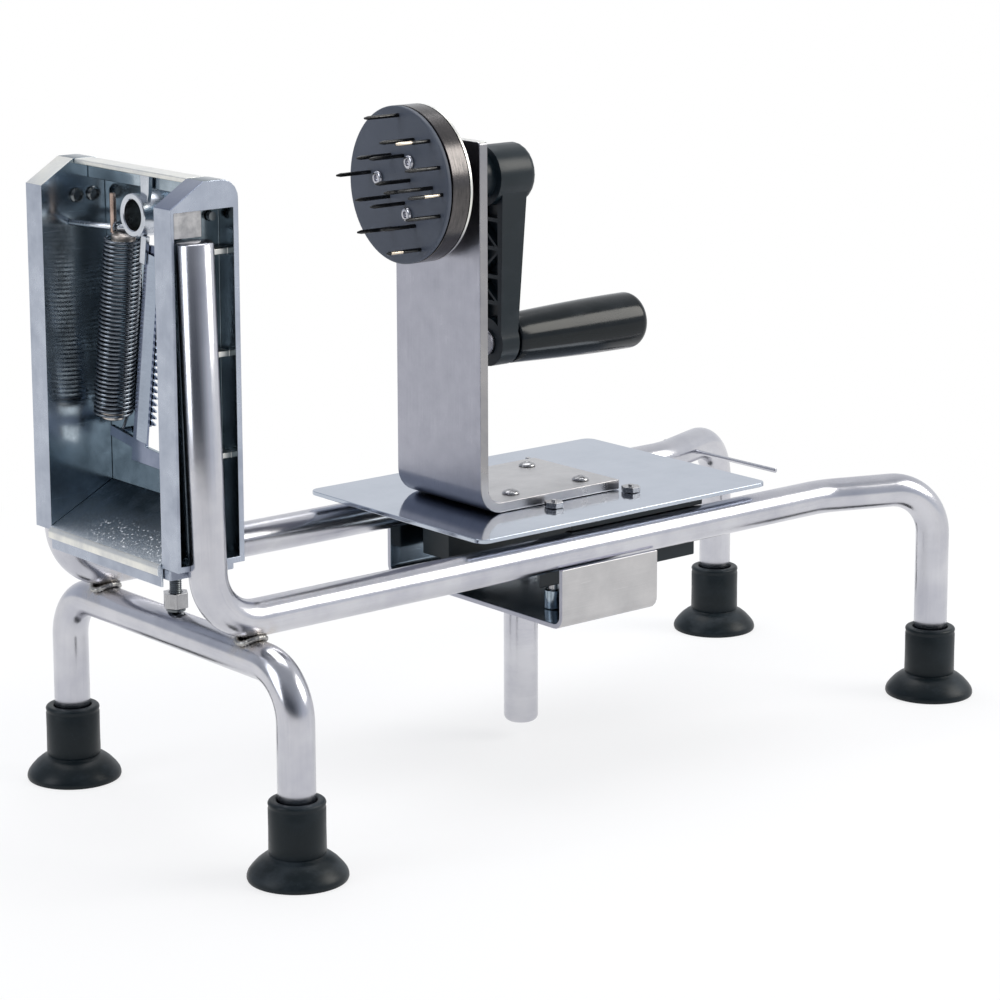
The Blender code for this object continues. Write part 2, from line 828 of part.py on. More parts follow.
# Carriage: plate above the rails, a grooved block at each rail and a folded channel below
def build_plate():
    outline = rounded(rectangle(plate_front_x, plate_back_x, -plate_half_y, plate_half_y), plate_corner)
    plate = prism(outline, "z", plate_top - plate_thickness, plate_top)
    item = add_part("carriage_plate", plate, "polished_steel", carriage_pivot)
    for number, (x, y, radius) in enumerate(plate_holes()):
        bore = rod("z", plate_top - plate_thickness - overrun, plate_top + overrun, radius, (x, y), 12)
        cut(item, "plate_bore_%d" % number, bore)


def plate_holes():
    for x in rivet_x:
        for side in (-1, 1):
            yield x, side * rivet_y, rivet_radius + seat_gap
    for x in screw_x:
        for side in (-1, 1):
            yield x, side * screw_y, screw_radius + seat_gap


def build_block(name, side, lip_y, lip_height):
    under_plate = plate_top - plate_thickness - seat_gap
    start = math.degrees(math.asin((lip_y - rail_y) / groove_radius))
    groove = arc((rail_y, rail_height), groove_radius, 3 * quarter_degrees + start, quarter_degrees, 10)
    outline = [(block_inner_y, block_low_inner), (lip_y, lip_height)] + groove
    outline += [(block_crown_y, under_plate), (block_inner_y, under_plate)]
    outline = [(side * y, z) for y, z in outline]
    item = add_part(name, prism(outline, "x", block_front_x, block_back_x), "black_plastic", carriage_pivot)
    for number, x in enumerate(screw_x):
        bore = rod("z", block_low_inner - overrun, plate_top, screw_radius + seat_gap,
                   (x, side * screw_y), 12)
        cut(item, name + "_bore_%d" % number, bore)


def build_channel():
    inner = channel_half_y - channel_sheet
    floor = channel_bottom + channel_sheet
    corners = [(-channel_half_y, channel_top), (-channel_half_y, channel_bottom),
               (channel_half_y, channel_bottom), (channel_half_y, channel_top),
               (inner, channel_top), (inner, floor), (-inner, floor), (-inner, channel_top)]
    bend = channel_bend - channel_sheet
    outline = rounded(corners, [0, channel_bend, channel_bend, 0, 0, bend, bend, 0])
    item = add_part("lower_channel", prism(outline, "x", channel_front_x, channel_back_x), "brushed_steel",
                    carriage_pivot)
    for side in (-1, 1):
        bore = rod("z", channel_bottom - channel_sheet, floor + channel_sheet, screw_radius + seat_gap,
                   (screw_x[0], side * screw_y), 12)
        cut(item, "channel_bore_%d" % side, bore)


def build_guide_screws():
    head = plate_top + seat_gap
    for x in screw_x:
        for label, side in (("near", -1), ("far", 1)):
            centre = (x, side * screw_y)
            low = channel_bottom if x == screw_x[0] else block_low_inner
            top = low - seat_gap
            bottom = top - screw_nut_height
            name = "%s_guide_screw_%d" % (label, 1 + screw_x.index(x))
            shank = [(bottom, 0), (bottom, screw_radius), (plate_top, screw_radius),
                     (plate_top, screw_tip_radius), (head + screw_tip_height, screw_tip_radius),
                     (head + screw_tip_height, 0)]
            item = add_part(name, turned(shank, "z", centre, 16), "brushed_steel", carriage_pivot)
            outline = hexagon(centre, screw_flats_radius)
            if side < 0:
                fuse(item, name + "_head", prism(outline, "z", head, head + screw_head_height))
            fuse(item, name + "_nut", prism(outline, "z", bottom + screw_end, top))
            if x == screw_x[0]:
                low = channel_bottom + channel_sheet + seat_gap
                high = block_low_inner - seat_gap
                bore = screw_radius + seat_gap
                sleeve = [(low, bore), (low, screw_flats_radius), (high, screw_flats_radius), (high, bore)]
                add_part(label + "_sleeve", turned(sleeve, "z", centre, 16), "brushed_steel", carriage_pivot)


def build_bracket():
    low = plate_top + seat_gap
    back = bracket_front_x + bracket_sheet
    high = low + bracket_sheet
    corners = [(bracket_front_x, bracket_top), (bracket_front_x, low), (bracket_foot_x, low),
               (bracket_foot_x, high), (back, high), (back, bracket_top)]
    outline = rounded(corners, [0, bracket_bend, 0, 0, bracket_bend - bracket_sheet, 0], 8)
    sheet = prism(outline, "y", -bracket_half_y, bracket_half_y)
    item = add_part("bracket", sheet, "brushed_steel", carriage_pivot)
    through = (bracket_front_x - bracket_sheet, back + bracket_sheet)
    cut(item, "bush_bore", rod("x", *through, bush_neck + seat_gap, (0, axis_height), 24))
    for number, x in enumerate(rivet_x):
        for side in (-1, 1):
            centre = (x, side * rivet_y)
            bore = rod("z", low - bracket_sheet, high + bracket_sheet, rivet_radius + seat_gap, centre, 12)
            cut(item, "rivet_bore_%d_%d" % (number, side), bore)
    for side in (-1, 1):
        edge = side * bracket_half_y
        inner = side * (bracket_half_y - bracket_corner)
        outer = side * (bracket_half_y + bracket_corner)
        level = bracket_top - bracket_corner
        above = bracket_top + bracket_corner
        corner = [(edge, level)]
        corner += arc((inner, level), bracket_corner, (1 - side) * quarter_degrees, quarter_degrees, 6)
        corner += [(inner, above), (outer, above), (outer, level)]
        cut(item, "bracket_corner_%d" % side, prism(corner, "x", *through))


def build_rivets():
    top = plate_top + 2 * seat_gap + bracket_sheet
    bottom = plate_top - plate_thickness - seat_gap
    number = 0
    for x in rivet_x:
        for side in (-1, 1):
            number += 1
            profile = [(bottom - rivet_head_height, 0),
                       (bottom - rivet_head_height, rivet_head * head_flat_share),
                       (bottom, rivet_head), (bottom, rivet_radius), (top, rivet_radius), (top, rivet_head)]
            profile += [(top + rivet_head_height * rise, rivet_head * run) for run, rise in rivet_shares]
            profile += [(top + rivet_head_height, 0)]
            rivet = turned(profile, "z", (x, side * rivet_y), 12)
            add_part("rivet_%d" % number, rivet, "polished_steel", carriage_pivot)


def build_handle():
    profile = [(handle_bottom, 0)]
    centre = (handle_bottom + handle_round, handle_radius - handle_round)
    profile += arc(centre, handle_round, 2 * quarter_degrees, quarter_degrees, 4)
    profile += [(channel_bottom - seat_gap, handle_radius), (channel_bottom - seat_gap, 0)]
    add_part("push_handle", turned(profile, "z", (handle_x, 0), 24), "tube_steel", carriage_pivot)


# Disc: grey face with prongs on a turned steel backing, carried by the spindle
def build_disc():
    seam = disc_front_x + face_thickness
    bore = spindle_radius + seat_gap
    face = [(disc_front_x, 0), (disc_front_x, disc_radius - face_round),
            (disc_front_x + face_round, disc_radius), (seam, disc_radius), (seam, 0)]
    item = add_part("disc_face", turned(face, "x", (0, axis_height), disc_sides), "grey_face", crank_pivot)
    start = seam + seat_gap
    backing = [(start, 0), (start, disc_radius), (cup_back_x - cup_edge, disc_radius),
               (cup_back_x, disc_radius - cup_edge), (cup_back_x, bore), (spindle_front_x, bore),
               (spindle_front_x, 0)]
    backing = turned(backing, "x", (0, axis_height), disc_sides)
    steel = add_part("disc_backing", backing, "polished_steel", crank_pivot)
    place = 0
    for radius, degrees in zip(prong_ring_radii, prong_ring_degrees):
        for angle in degrees:
            place += 1
            spot = arc((0, axis_height), radius, angle, angle, 1)[0]
            prong = [(prong_tip_x, 0), (prong_tip_x + prong_radius, prong_radius),
                     (prong_root_x, prong_radius), (prong_root_x, 0)]
            fuse(steel, "prong_%d" % place, turned(prong, "x", spot, 6))
            hole = rod("x", disc_front_x - face_thickness, seam + face_thickness, prong_radius + seat_gap,
                       spot, 6)
            cut(item, "prong_hole_%d" % place, hole)
    for number, angle in enumerate(disc_screw_degrees):
        spot = arc((0, axis_height), disc_screw_ring, angle, angle, 1)[0]
        front = disc_front_x - seat_gap
        profile = [(front - disc_screw_height, 0),
                   (front - disc_screw_height, disc_screw_radius * head_flat_share),
                   (front - disc_screw_height * head_edge_share, disc_screw_radius),
                   (front, disc_screw_radius), (front, 0)]
        screw = turned(profile, "x", spot, 16)
        add_part("disc_screw_%d" % (number + 1), screw, "polished_steel", crank_pivot)


def build_spindle():
    spindle = rod("x", spindle_front_x + seat_gap, spindle_back_x, spindle_radius, (0, axis_height), 24)
    add_part("spindle", spindle, "tube_steel", crank_pivot)
    shoulder = bracket_front_x - seat_gap
    end = bracket_front_x + bracket_sheet
    bush = [(bush_front_x, bush_bore), (bush_front_x, bush_outer), (shoulder, bush_outer),
            (shoulder, bush_neck), (end, bush_neck), (end, bush_bore)]
    add_part("bush", turned(bush, "x", (0, axis_height), 24), "black_plastic", carriage_pivot)


# Crank: a moulded arm, ribbed on its inner side, with a hub and an end boss
def build_crank():
    grip_height = axis_height - arm_drop
    top = [(arm_half_top, axis_height), (-arm_half_top, axis_height)]
    low = arc((0, grip_height), arm_half_low, 2 * quarter_degrees, 4 * quarter_degrees, 8)
    arm = prism(top + low, "x", arm_inner_x, arm_outer_top_x)
    item = add_part("crank_arm", arm, "black_plastic", crank_pivot)
    width = 2 * hub_radius
    lean = (arm_outer_top_x - arm_outer_low_x) / arm_drop
    slope = [(arm_outer_top_x, axis_height), (arm_outer_top_x + width, axis_height),
             (arm_outer_top_x + width, grip_height - width),
             (arm_outer_low_x - lean * width, grip_height - width)]
    cut(item, "arm_slope", prism(slope, "y", -width, width))
    hollow_top = axis_height - hub_radius * arm_hollow_share
    hollow_low = grip_height + arm_end_radius * arm_hollow_share
    half = arm_half_low - arm_wall
    hollow = rectangle(-half, half, hollow_low, hollow_top)
    cut(item, "arm_hollow", prism(hollow, "x", arm_inner_x - arm_pocket, arm_inner_x + arm_pocket))
    drops = [share * arm_drop for share in arm_rib_shares]
    for number, drop in enumerate(drops):
        height = axis_height - drop
        rib = box((arm_inner_x + arm_rib / 2, arm_inner_x + arm_pocket + arm_rib / 2),
                  (-half - arm_wall / 2, half + arm_wall / 2), (height - arm_rib / 2, height + arm_rib / 2))
        fuse(item, "arm_rib_%d" % number, rib)
    for number, (drop, after) in enumerate(zip(drops, drops[1:])):
        swing = half if number % 2 else -half
        wide = -math.copysign(arm_rib, swing)
        high, deep = axis_height - drop, axis_height - after
        strut = [(-swing, high), (wide - swing, high), (wide + swing, deep), (swing, deep)]
        strut = prism(strut, "x", arm_inner_x + arm_rib / 2, arm_inner_x + arm_pocket + arm_rib / 2)
        fuse(item, "arm_strut_%d" % number, strut)
    hub = [(boss_inner_x, 0), (boss_inner_x, boss_radius), (hub_inner_x, boss_radius),
           (hub_inner_x, hub_radius)]
    hub += arc((hub_outer_x - hub_round, hub_radius - hub_round), hub_round, quarter_degrees, 0, 4)
    hub += [(hub_outer_x, 0)]
    fuse(item, "hub", turned(hub, "x", (0, axis_height), 24))
    boss = [(arm_inner_x, 0), (arm_inner_x, arm_end_radius), (arm_outer_low_x + seat_gap, arm_end_radius),
            (arm_outer_low_x + seat_gap, 0)]
    fuse(item, "end_boss", turned(boss, "x", (0, grip_height), 24))
    cut(item, "spindle_bore", rod("x", boss_inner_x - arm_wall, hub_outer_x + arm_wall,
                                  spindle_radius + seat_gap, (0, axis_height), 20))
    cut(item, "hub_recess", rod("x", hub_outer_x - hub_recess_depth, hub_outer_x + arm_wall,
                                hub_recess_radius, (0, axis_height), 24))
    cut(item, "pin_bore", rod("x", arm_inner_x - arm_wall, arm_outer_top_x + arm_wall,
                              pin_radius + seat_gap, (0, grip_height), 16))
    floor = hub_outer_x - hub_recess_depth + seat_gap
    cap = prism(hexagon((0, axis_height), cap_flats_radius), "x", floor, floor + cap_height)
    cap = add_part("crank_nut", cap, "brushed_steel", crank_pivot)
    low, high, tip = (floor + cap_height * share for share in cap_shares)
    dome = [(low, 0), (low, spindle_radius), (high, spindle_radius * head_flat_share), (tip, 0)]
    fuse(cap, "crank_nut_dome", turned(dome, "x", (0, axis_height), 16))


def build_grip():
    grip_height = axis_height - arm_drop
    pivot = (grip_front_x, 0, grip_height)
    head = arm_inner_x - seat_gap
    pin = [(head - pin_head_length, 0), (head - pin_head_length, pin_head_radius), (head, pin_head_radius),
           (head, pin_radius), (pin_end_x, pin_radius), (pin_end_x, 0)]
    add_part("grip_pin", turned(pin, "x", (0, grip_height), 20), "brushed_steel", crank_pivot)
    profile = [(grip_front_x, grip_bore), (grip_front_x, grip_root_radius - arm_rib / 2),
               (grip_front_x + arm_rib / 2, grip_root_radius)]
    run = grip_back_x - grip_round - grip_front_x
    for share in grip_shares:
        swell = math.sin(share * math.pi / 2)
        radius = grip_root_radius + (grip_wide_radius - grip_root_radius) * swell
        profile.append((grip_front_x + run * share, radius))
    centre = (grip_back_x - grip_round, grip_wide_radius - grip_round)
    profile += arc(centre, grip_round, quarter_degrees, 0, 6)
    profile = [(grip_bore_end_x, 0), (grip_bore_end_x, grip_bore)] + profile + [(grip_back_x, 0)]
    add_part("grip", turned(profile, "x", (0, grip_height), 24), "black_plastic", pivot)


clear_scene()
part_group = new_collection("spiral_vegetable_slicer")
cutter_group = new_collection("cutters", hidden=True)
surfaces = {name: make_material(name) for name in materials}
carriage_pivot = (plate_front_x, 0, rail_height)
crank_pivot = (bracket_front_x, 0, axis_height)
build_stand()
build_box_shell()
build_base()
build_coring_tube()
build_carrier()
build_blades()
build_spring()
build_plate()
build_block("near_block", -1, near_lip_y, block_low_outer)
build_block("far_block", 1, far_lip_y, block_low_inner)
build_channel()
build_guide_screws()
build_bracket()
build_rivets()
build_handle()
build_disc()
build_spindle()
build_crank()
build_grip()
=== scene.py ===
import json
import math
import random

import bmesh
import bpy
from mathutils import Matrix, Vector

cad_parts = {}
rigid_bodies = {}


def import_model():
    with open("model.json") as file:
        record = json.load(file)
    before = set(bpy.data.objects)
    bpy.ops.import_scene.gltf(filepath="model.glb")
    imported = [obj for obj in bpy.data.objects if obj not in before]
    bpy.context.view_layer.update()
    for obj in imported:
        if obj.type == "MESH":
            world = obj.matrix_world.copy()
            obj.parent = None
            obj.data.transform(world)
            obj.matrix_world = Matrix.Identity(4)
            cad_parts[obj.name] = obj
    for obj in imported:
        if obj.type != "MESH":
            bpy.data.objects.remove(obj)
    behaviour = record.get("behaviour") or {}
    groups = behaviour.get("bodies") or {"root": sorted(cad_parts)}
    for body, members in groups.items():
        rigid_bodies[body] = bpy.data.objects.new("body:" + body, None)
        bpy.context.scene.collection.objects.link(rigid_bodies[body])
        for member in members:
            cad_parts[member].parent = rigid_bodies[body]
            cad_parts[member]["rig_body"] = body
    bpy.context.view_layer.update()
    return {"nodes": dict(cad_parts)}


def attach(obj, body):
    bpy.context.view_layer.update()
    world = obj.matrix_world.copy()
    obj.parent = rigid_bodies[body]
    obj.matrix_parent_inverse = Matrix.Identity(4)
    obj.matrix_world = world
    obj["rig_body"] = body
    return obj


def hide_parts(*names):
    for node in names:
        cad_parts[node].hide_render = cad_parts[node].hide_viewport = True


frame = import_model()
print("frame loaded, nodes:", len(frame["nodes"]))

# Sizes below are millimetres: X from the left legs, Y from the middle plane, Z from the table
stand = {
    "legToCentre": 187.55, "tube": 8.0, "railY": 55.2, "railZ": 103.8, "uprightX": -20.3, "uprightTop": 263.5,
    "bend": 23.4, "splayX": 334.0, "splayBend": 40.0, "rightX": 390.5, "rightY": 76.0, "leftY": 85.5,
    "crossZ": 87.4, "legBend": 21.6, "tubeEnd": 9.0, "axisZ": 267.3, "lean": 4.0,
}


def place(x, y, z):
    return Vector(((x - stand["legToCentre"]) * 0.001, y * 0.001, z * 0.001))


# One socket of a node tree, with Python arithmetic
class Wire:
    def __init__(self, board, socket):
        self.board = board
        self.socket = socket

    def sum(self, operation, *terms):
        return self.board.node("Math", {"operation": operation}, dict(enumerate(terms)))

    def __add__(self, other):
        return self.sum("ADD", self, other)

    def __sub__(self, other):
        return self.sum("SUBTRACT", self, other)

    def __rsub__(self, other):
        return self.sum("SUBTRACT", other, self)

    def __mul__(self, other):
        return self.sum("MULTIPLY", self, other)

    def clamp(self, low, high):
        return self.board.node("MapRange", {}, {0: self, 1: low, 2: high, 3: 0.0, 4: 1.0})

    __radd__ = __add__
    __rmul__ = __mul__


# A node tree: every node comes from node()
class Board:
    def __init__(self, tree):
        self.tree = tree
        tree.nodes.clear()

    def node(self, kind, settings=None, sockets=None, output=0):
        made = self.tree.nodes.new("ShaderNode" + kind)
        for key, value in (settings or {}).items():
            setattr(made, key, value)
        for key, value in (sockets or {}).items():
            if isinstance(value, Wire):
                self.tree.links.new(value.socket, made.inputs[key])
            else:
                made.inputs[key].default_value = value
        return Wire(self, made.outputs[output]) if made.outputs else None

    def tint(self, share, first, second):  # share 0 gives first, 1 gives second
        first, second = ((*c, 1) if isinstance(c, tuple) else c for c in (first, second))
        return self.node("Mix", {"data_type": "RGBA"}, {0: share, 6: first, 7: second}, 2)

    def stretch(self, vector, scale):
        return self.node("VectorMath", {"operation": "MULTIPLY"}, {0: vector, 1: scale})

    def noise(self, vector, scale, detail=2.0, rough=0.5):
        return self.node("TexNoise", {}, {"Vector": vector, "Scale": scale, "Detail": detail, "Roughness": rough})

    def grain(self):  # the first part runs with the brushing, the others across it, in millimetres
        return self.node("Attribute", {"attribute_name": "grain"}, {}, 1)

    def spot(self):  # place on the body in millimetres
        coords = self.node("TexCoord", {}, {}, 3)
        return self.stretch(coords, (1000.0, 1000.0, 1000.0))

    def ray(self, kind):  # 0 camera, 3 glossy, 6 transmission
        return self.node("LightPath", {}, {}, kind)

    def bump(self, height, strength, distance):
        return self.node("Bump", {}, {"Strength": strength, "Distance": distance, "Height": height})


def newFinish(name, sockets, fixed):
    material = bpy.data.materials.new(name)
    material.use_nodes = True
    board = Board(material.node_tree)
    surface = board.node("BsdfPrincipled", {}, {**fixed, **sockets(board)})
    board.node("OutputMaterial", {}, {"Surface": surface})
    return material


# Polished tube: long draw marks, faint smudges, straw tint round the welds
tubeLook = {"bright": (0.60, 0.60, 0.635), "dull": (0.46, 0.465, 0.515), "straw": (0.52, 0.44, 0.32), "smooth": 0.17,
            "worn": 0.27, "strawNear": 4.0, "strawFar": 13.0, "strawShare": 0.6, "strawRough": 0.16}


def tubeSockets(board):
    grain = board.grain()
    draw = board.noise(board.stretch(grain, (1.0, 2.2, 2.2)), 1.0, 3.0, 0.6)
    smudge = board.noise(board.spot(), 0.035, 4.0, 0.55)
    weld = None
    for side in (-1, 1):
        centre = place(0, side * stand["railY"], stand["railZ"] - stand["tube"]) * 1000
        away = board.node("VectorMath", {"operation": "DISTANCE"}, {0: board.spot(), 1: tuple(centre)}, 1)
        near = 1 - away.clamp(tubeLook["strawNear"], tubeLook["strawFar"])
        weld = near if weld is None else weld + near
    weld = weld * board.noise(board.spot(), 0.22, 3.0).clamp(0.3, 0.62)
    colour = board.tint((smudge * 0.85 + draw * 0.15).clamp(0.38, 0.68), tubeLook["bright"], tubeLook["dull"])
    colour = board.tint(weld * tubeLook["strawShare"], colour, tubeLook["straw"])
    rough = tubeLook["smooth"] + (tubeLook["worn"] - tubeLook["smooth"]) * (draw * 0.3 + smudge * 0.7)
    rough += weld * tubeLook["strawRough"]
    height = draw + board.noise(board.spot(), 0.08, 1.0) * 6.0
    return {"Base Color": colour, "Roughness": rough, "Normal": board.bump(height, 0.35, 0.00003)}


# Sheet and turned metal: lines with the grain, cloudy wear, a few scratches
def sheetSockets(look):
    def sockets(board):
        grain = board.grain()
        lines = board.noise(board.stretch(grain, (1.0, look["pitch"], look["pitch"])), 1.0, 4.0, 0.7)
        cloud = board.noise(board.spot(), look["cloud"], 5.0, 0.62)
        scratch = board.noise(board.stretch(board.spot(), (0.05, 1.6, 0.9)), 1.0, 1.0).clamp(0.70, 0.74)
        wear = (lines * look["streak"] + cloud * (1 - look["streak"])).clamp(0.36, 0.66)
        colour = board.tint(wear, look["bright"], look["dull"])
        colour = board.tint(scratch * 0.25, colour, look["scratch"])
        rough = look["smooth"] + (look["worn"] - look["smooth"]) * wear + scratch * 0.06
        height = lines * look["line"] + cloud * look["wave"]
        return {"Base Color": colour, "Roughness": rough, "Normal": board.bump(height, 0.5, 0.00004)}
    return sockets


# Bright, dull and scratch colours, then how the lines and the clouds lie
def metalLook(bright, dull, smooth, worn, pitch=3.0, streak=0.3, cloud=0.05, line=0.5, wave=0.4):
    scratch = tuple(min(1.0, part * 1.3) for part in bright)
    return {"bright": bright, "dull": dull, "scratch": scratch, "smooth": smooth, "worn": worn, "pitch": pitch,
            "streak": streak, "cloud": cloud, "line": line, "wave": wave}


metalLooks = {
    "brushed": metalLook((0.415, 0.42, 0.48), (0.35, 0.355, 0.41), 0.27, 0.37, 6.0, 0.6, 0.12, 1.0, 0.3),
    # Painted highlight: a lighter, less blue copy of the brushed sheet for the channel's near outer face and the
    # bracket foot
    "paintedHighlightWarm": metalLook((0.57, 0.56, 0.56), (0.46, 0.455, 0.46), 0.28, 0.40, 5.0, 0.4, 0.06, 1.0, 0.5),
    "edge": metalLook((0.38, 0.37, 0.37), (0.26, 0.26, 0.28), 0.24, 0.36, 4.0, 0.5, 0.06, 0.8, 0.3),
    "mirror": metalLook((0.50, 0.545, 0.62), (0.44, 0.485, 0.56), 0.05, 0.12, 1.2, 0.2, 0.03, 0.12, 0.4),
    "front": metalLook((0.46, 0.50, 0.58), (0.35, 0.385, 0.46), 0.24, 0.36, 2.0, 0.15, 0.07, 0.2, 0.8),
    # Painted shade: a darker, bluer copy of the cheek metal for the near cheek's chamfer and the blade carrier
    "paintedLightSlant": metalLook((0.24, 0.27, 0.36), (0.18, 0.21, 0.29), 0.10, 0.20, 2.0, 0.15, 0.06, 0.1, 0.5),
    # Painted shade: darker metal for faces within the box and the channel, under the strap, low on the blade carrier
    # and on the sleeves
    "paintedShadeInside": metalLook((0.42, 0.49, 0.55), (0.22, 0.27, 0.31), 0.11, 0.24, 1.6, 0.1, 0.05, 0.1, 0.6),
    # Painted shade: a still darker metal for the recessed cheek pockets
    "paintedShadePocket": metalLook((0.20, 0.24, 0.27), (0.11, 0.14, 0.16), 0.12, 0.24, 1.6, 0.1, 0.05, 0.1, 0.6),
    # Painted highlight: pale yellowish metal for lit faces, namely the cheek ribs, the far chamfer, the top strap, the
    # chute's front fold, the bracket top and the disc's rear rim
    "paintedHighlight": metalLook((0.84, 0.83, 0.77), (0.64, 0.645, 0.64), 0.30, 0.42, 2.0, 0.2, 0.08, 0.3, 0.6),
    "clamp": metalLook((0.56, 0.55, 0.55), (0.34, 0.34, 0.35), 0.30, 0.45, 2.0, 0.1, 0.20, 0.3, 1.5),
    "blade": metalLook((0.36, 0.41, 0.49), (0.28, 0.32, 0.39), 0.10, 0.18, 3.0, 0.4, 0.05, 0.3, 0.2),
    "ring": metalLook((0.62, 0.65, 0.70), (0.46, 0.49, 0.54), 0.18, 0.30, 2.0, 0.3, 0.08, 0.3, 0.4),
    "bore": metalLook((0.44, 0.45, 0.45), (0.22, 0.23, 0.23), 0.25, 0.40, 2.0, 0.3, 0.08, 0.3, 0.4),
    "fastener": metalLook((0.50, 0.50, 0.51), (0.32, 0.32, 0.33), 0.18, 0.32, 3.4, 0.4, 0.08, 0.8, 0.2),
    "socket": metalLook((0.20, 0.215, 0.22), (0.10, 0.11, 0.12), 0.16, 0.30, 3.4, 0.4, 0.10, 0.8, 0.2),
    "backing": metalLook((0.13, 0.12, 0.12), (0.05, 0.05, 0.05), 0.16, 0.28, 3.4, 0.6, 0.06, 1.4, 0.1),
    "wire": metalLook((0.22, 0.245, 0.28), (0.09, 0.10, 0.115), 0.20, 0.32, 2.0, 0.3, 0.15, 0.4, 0.2),
    "plug": metalLook((0.62, 0.57, 0.53), (0.34, 0.31, 0.29), 0.30, 0.45, 2.0, 0.2, 0.30, 0.3, 0.8),
    "post": metalLook((0.52, 0.40, 0.34), (0.26, 0.19, 0.16), 0.20, 0.32, 3.0, 0.3, 0.20, 0.6, 0.3),
    "weld": metalLook((0.52, 0.51, 0.49), (0.20, 0.20, 0.20), 0.24, 0.40, 2.0, 0.3, 0.30, 0.6, 1.5),
    "prong": metalLook((0.07, 0.07, 0.07), (0.03, 0.03, 0.03), 0.24, 0.36, 2.0, 0.3, 0.4, 0.4, 0.2),
    "tip": metalLook((0.85, 0.74, 0.60), (0.62, 0.54, 0.44), 0.20, 0.30, 2.0, 0.3, 0.4, 0.3, 0.1),
}

# Chute floor: mottled dark blue-grey sheet that pales towards the lip, with bright crystals near it; the pale tone at
# the lip is painted highlight and the darkening back into the box is painted shade
chuteLook = {"pale": (0.93, 0.97, 1.0), "paintedShadeSlate": (0.15, 0.20, 0.24), "mottle": (0.40, 0.47, 0.56),
             "crystal": (0.98, 0.99, 1.0), "front": -36.0, "back": -14.0, "smooth": 0.24, "worn": 0.42,
             "mottleShare": 0.45, "crystalBack": -20.0, "crystalSide": 24.0, "fadeBack": 5.0, "fadeSide": 14.0,
             "crystalSize": 0.85, "crystalLow": 0.63, "crystalHigh": 0.68, "crystalRough": 0.2}


def chuteSockets(board):
    look, spot = chuteLook, board.spot()
    along = board.node("SeparateXYZ", {}, {0: spot}, 0)
    across = board.node("SeparateXYZ", {}, {0: spot}, 1)
    centre = stand["legToCentre"]
    cloud = board.noise(spot, 0.11, 5.0, 0.65)
    fine = board.noise(spot, 0.7, 3.0, 0.6)
    # Painted shade: the sheet turns from the pale lip to the dark tone further back in the box
    depth = (along + cloud * 9.0 - 4.5).clamp(look["front"] - centre, look["back"] - centre)
    colour = board.tint(depth, look["pale"], look["paintedShadeSlate"])
    colour = board.tint((cloud * 0.6 + fine * 0.4).clamp(0.42, 0.60) * look["mottleShare"], colour, look["mottle"])
    near = 1 - along.clamp(look["crystalBack"] - centre - look["fadeBack"], look["crystalBack"] - centre)
    right = 1 - across.clamp(look["crystalSide"] - look["fadeSide"], look["crystalSide"])
    crystal = board.noise(spot, look["crystalSize"], 1.0).clamp(look["crystalLow"], look["crystalHigh"]) * near * right
    colour = board.tint(crystal, colour, look["crystal"])
    rough = look["smooth"] + (look["worn"] - look["smooth"]) * cloud + crystal * look["crystalRough"]
    return {"Base Color": colour, "Roughness": rough, "Metallic": 1 - crystal,
            "Normal": board.bump(cloud * 2.0 + fine * 0.3, 0.5, 0.00005)}


# Moulded rubber and plastic: fine skin, scuffs, and a paler tone on what faces up that is partly dust and partly
# painted top light
def mouldedSockets(look):
    def sockets(board):
        spot = board.spot()
        skin = board.noise(spot, look["skin"], 3.0, 0.6)
        scuff = board.noise(board.stretch(spot, (0.05, 0.06, 0.12)), 1.0, 5.0, 0.6).clamp(0.45, 0.75)
        fleck = board.noise(spot, 1.3, 1.0).clamp(0.74, 0.80)
        facing = board.node("SeparateXYZ", {}, {0: board.node("NewGeometry", {}, {}, 1)}, 2)
        # Faces that look up turn paler: partly dust, partly painted light on the lit tops
        dustAndPaintedTopLight = (facing * scuff).clamp(0.1, 1.0)
        colour = board.tint(scuff * 0.6, look["dark"], look["pale"])
        colour = board.tint(dustAndPaintedTopLight * 0.35 + fleck * 0.2, colour, look["dustAndPaintedTopLight"])
        rough = look["smooth"] + (look["worn"] - look["smooth"]) * (scuff * 0.7 + skin * 0.3)
        return {"Base Color": colour, "Roughness": rough, "Normal": board.bump(skin, look["depth"], 0.00005)}
    return sockets


mouldedLooks = {
    "rubber": {"dark": (0.006, 0.011, 0.014), "pale": (0.016, 0.023, 0.029), "dustAndPaintedTopLight": (0.08, 0.10, 0.12), "skin": 0.9,
               "smooth": 0.34, "worn": 0.52, "depth": 0.35},
    "arm": {"dark": (0.008, 0.015, 0.020), "pale": (0.018, 0.026, 0.033), "dustAndPaintedTopLight": (0.07, 0.085, 0.10), "skin": 1.6,
            "smooth": 0.30, "worn": 0.46, "depth": 0.40},
    "grip": {"dark": (0.003, 0.006, 0.008), "pale": (0.008, 0.012, 0.015), "dustAndPaintedTopLight": (0.03, 0.035, 0.04), "skin": 0.5,
             "smooth": 0.14, "worn": 0.26, "depth": 0.10},
    "face": {"dark": (0.070, 0.082, 0.108), "pale": (0.100, 0.113, 0.142), "dustAndPaintedTopLight": (0.16, 0.175, 0.20), "skin": 1.2,
             "smooth": 0.40, "worn": 0.54, "depth": 0.25},
}
mouldedFixed = {"rubber": {"Specular IOR Level": 0.22}, "arm": {"Specular IOR Level": 0.28},
                "grip": {"Specular IOR Level": 0.24, "Coat Weight": 0.06, "Coat Roughness": 0.10},
                "face": {"Specular IOR Level": 0.3}}

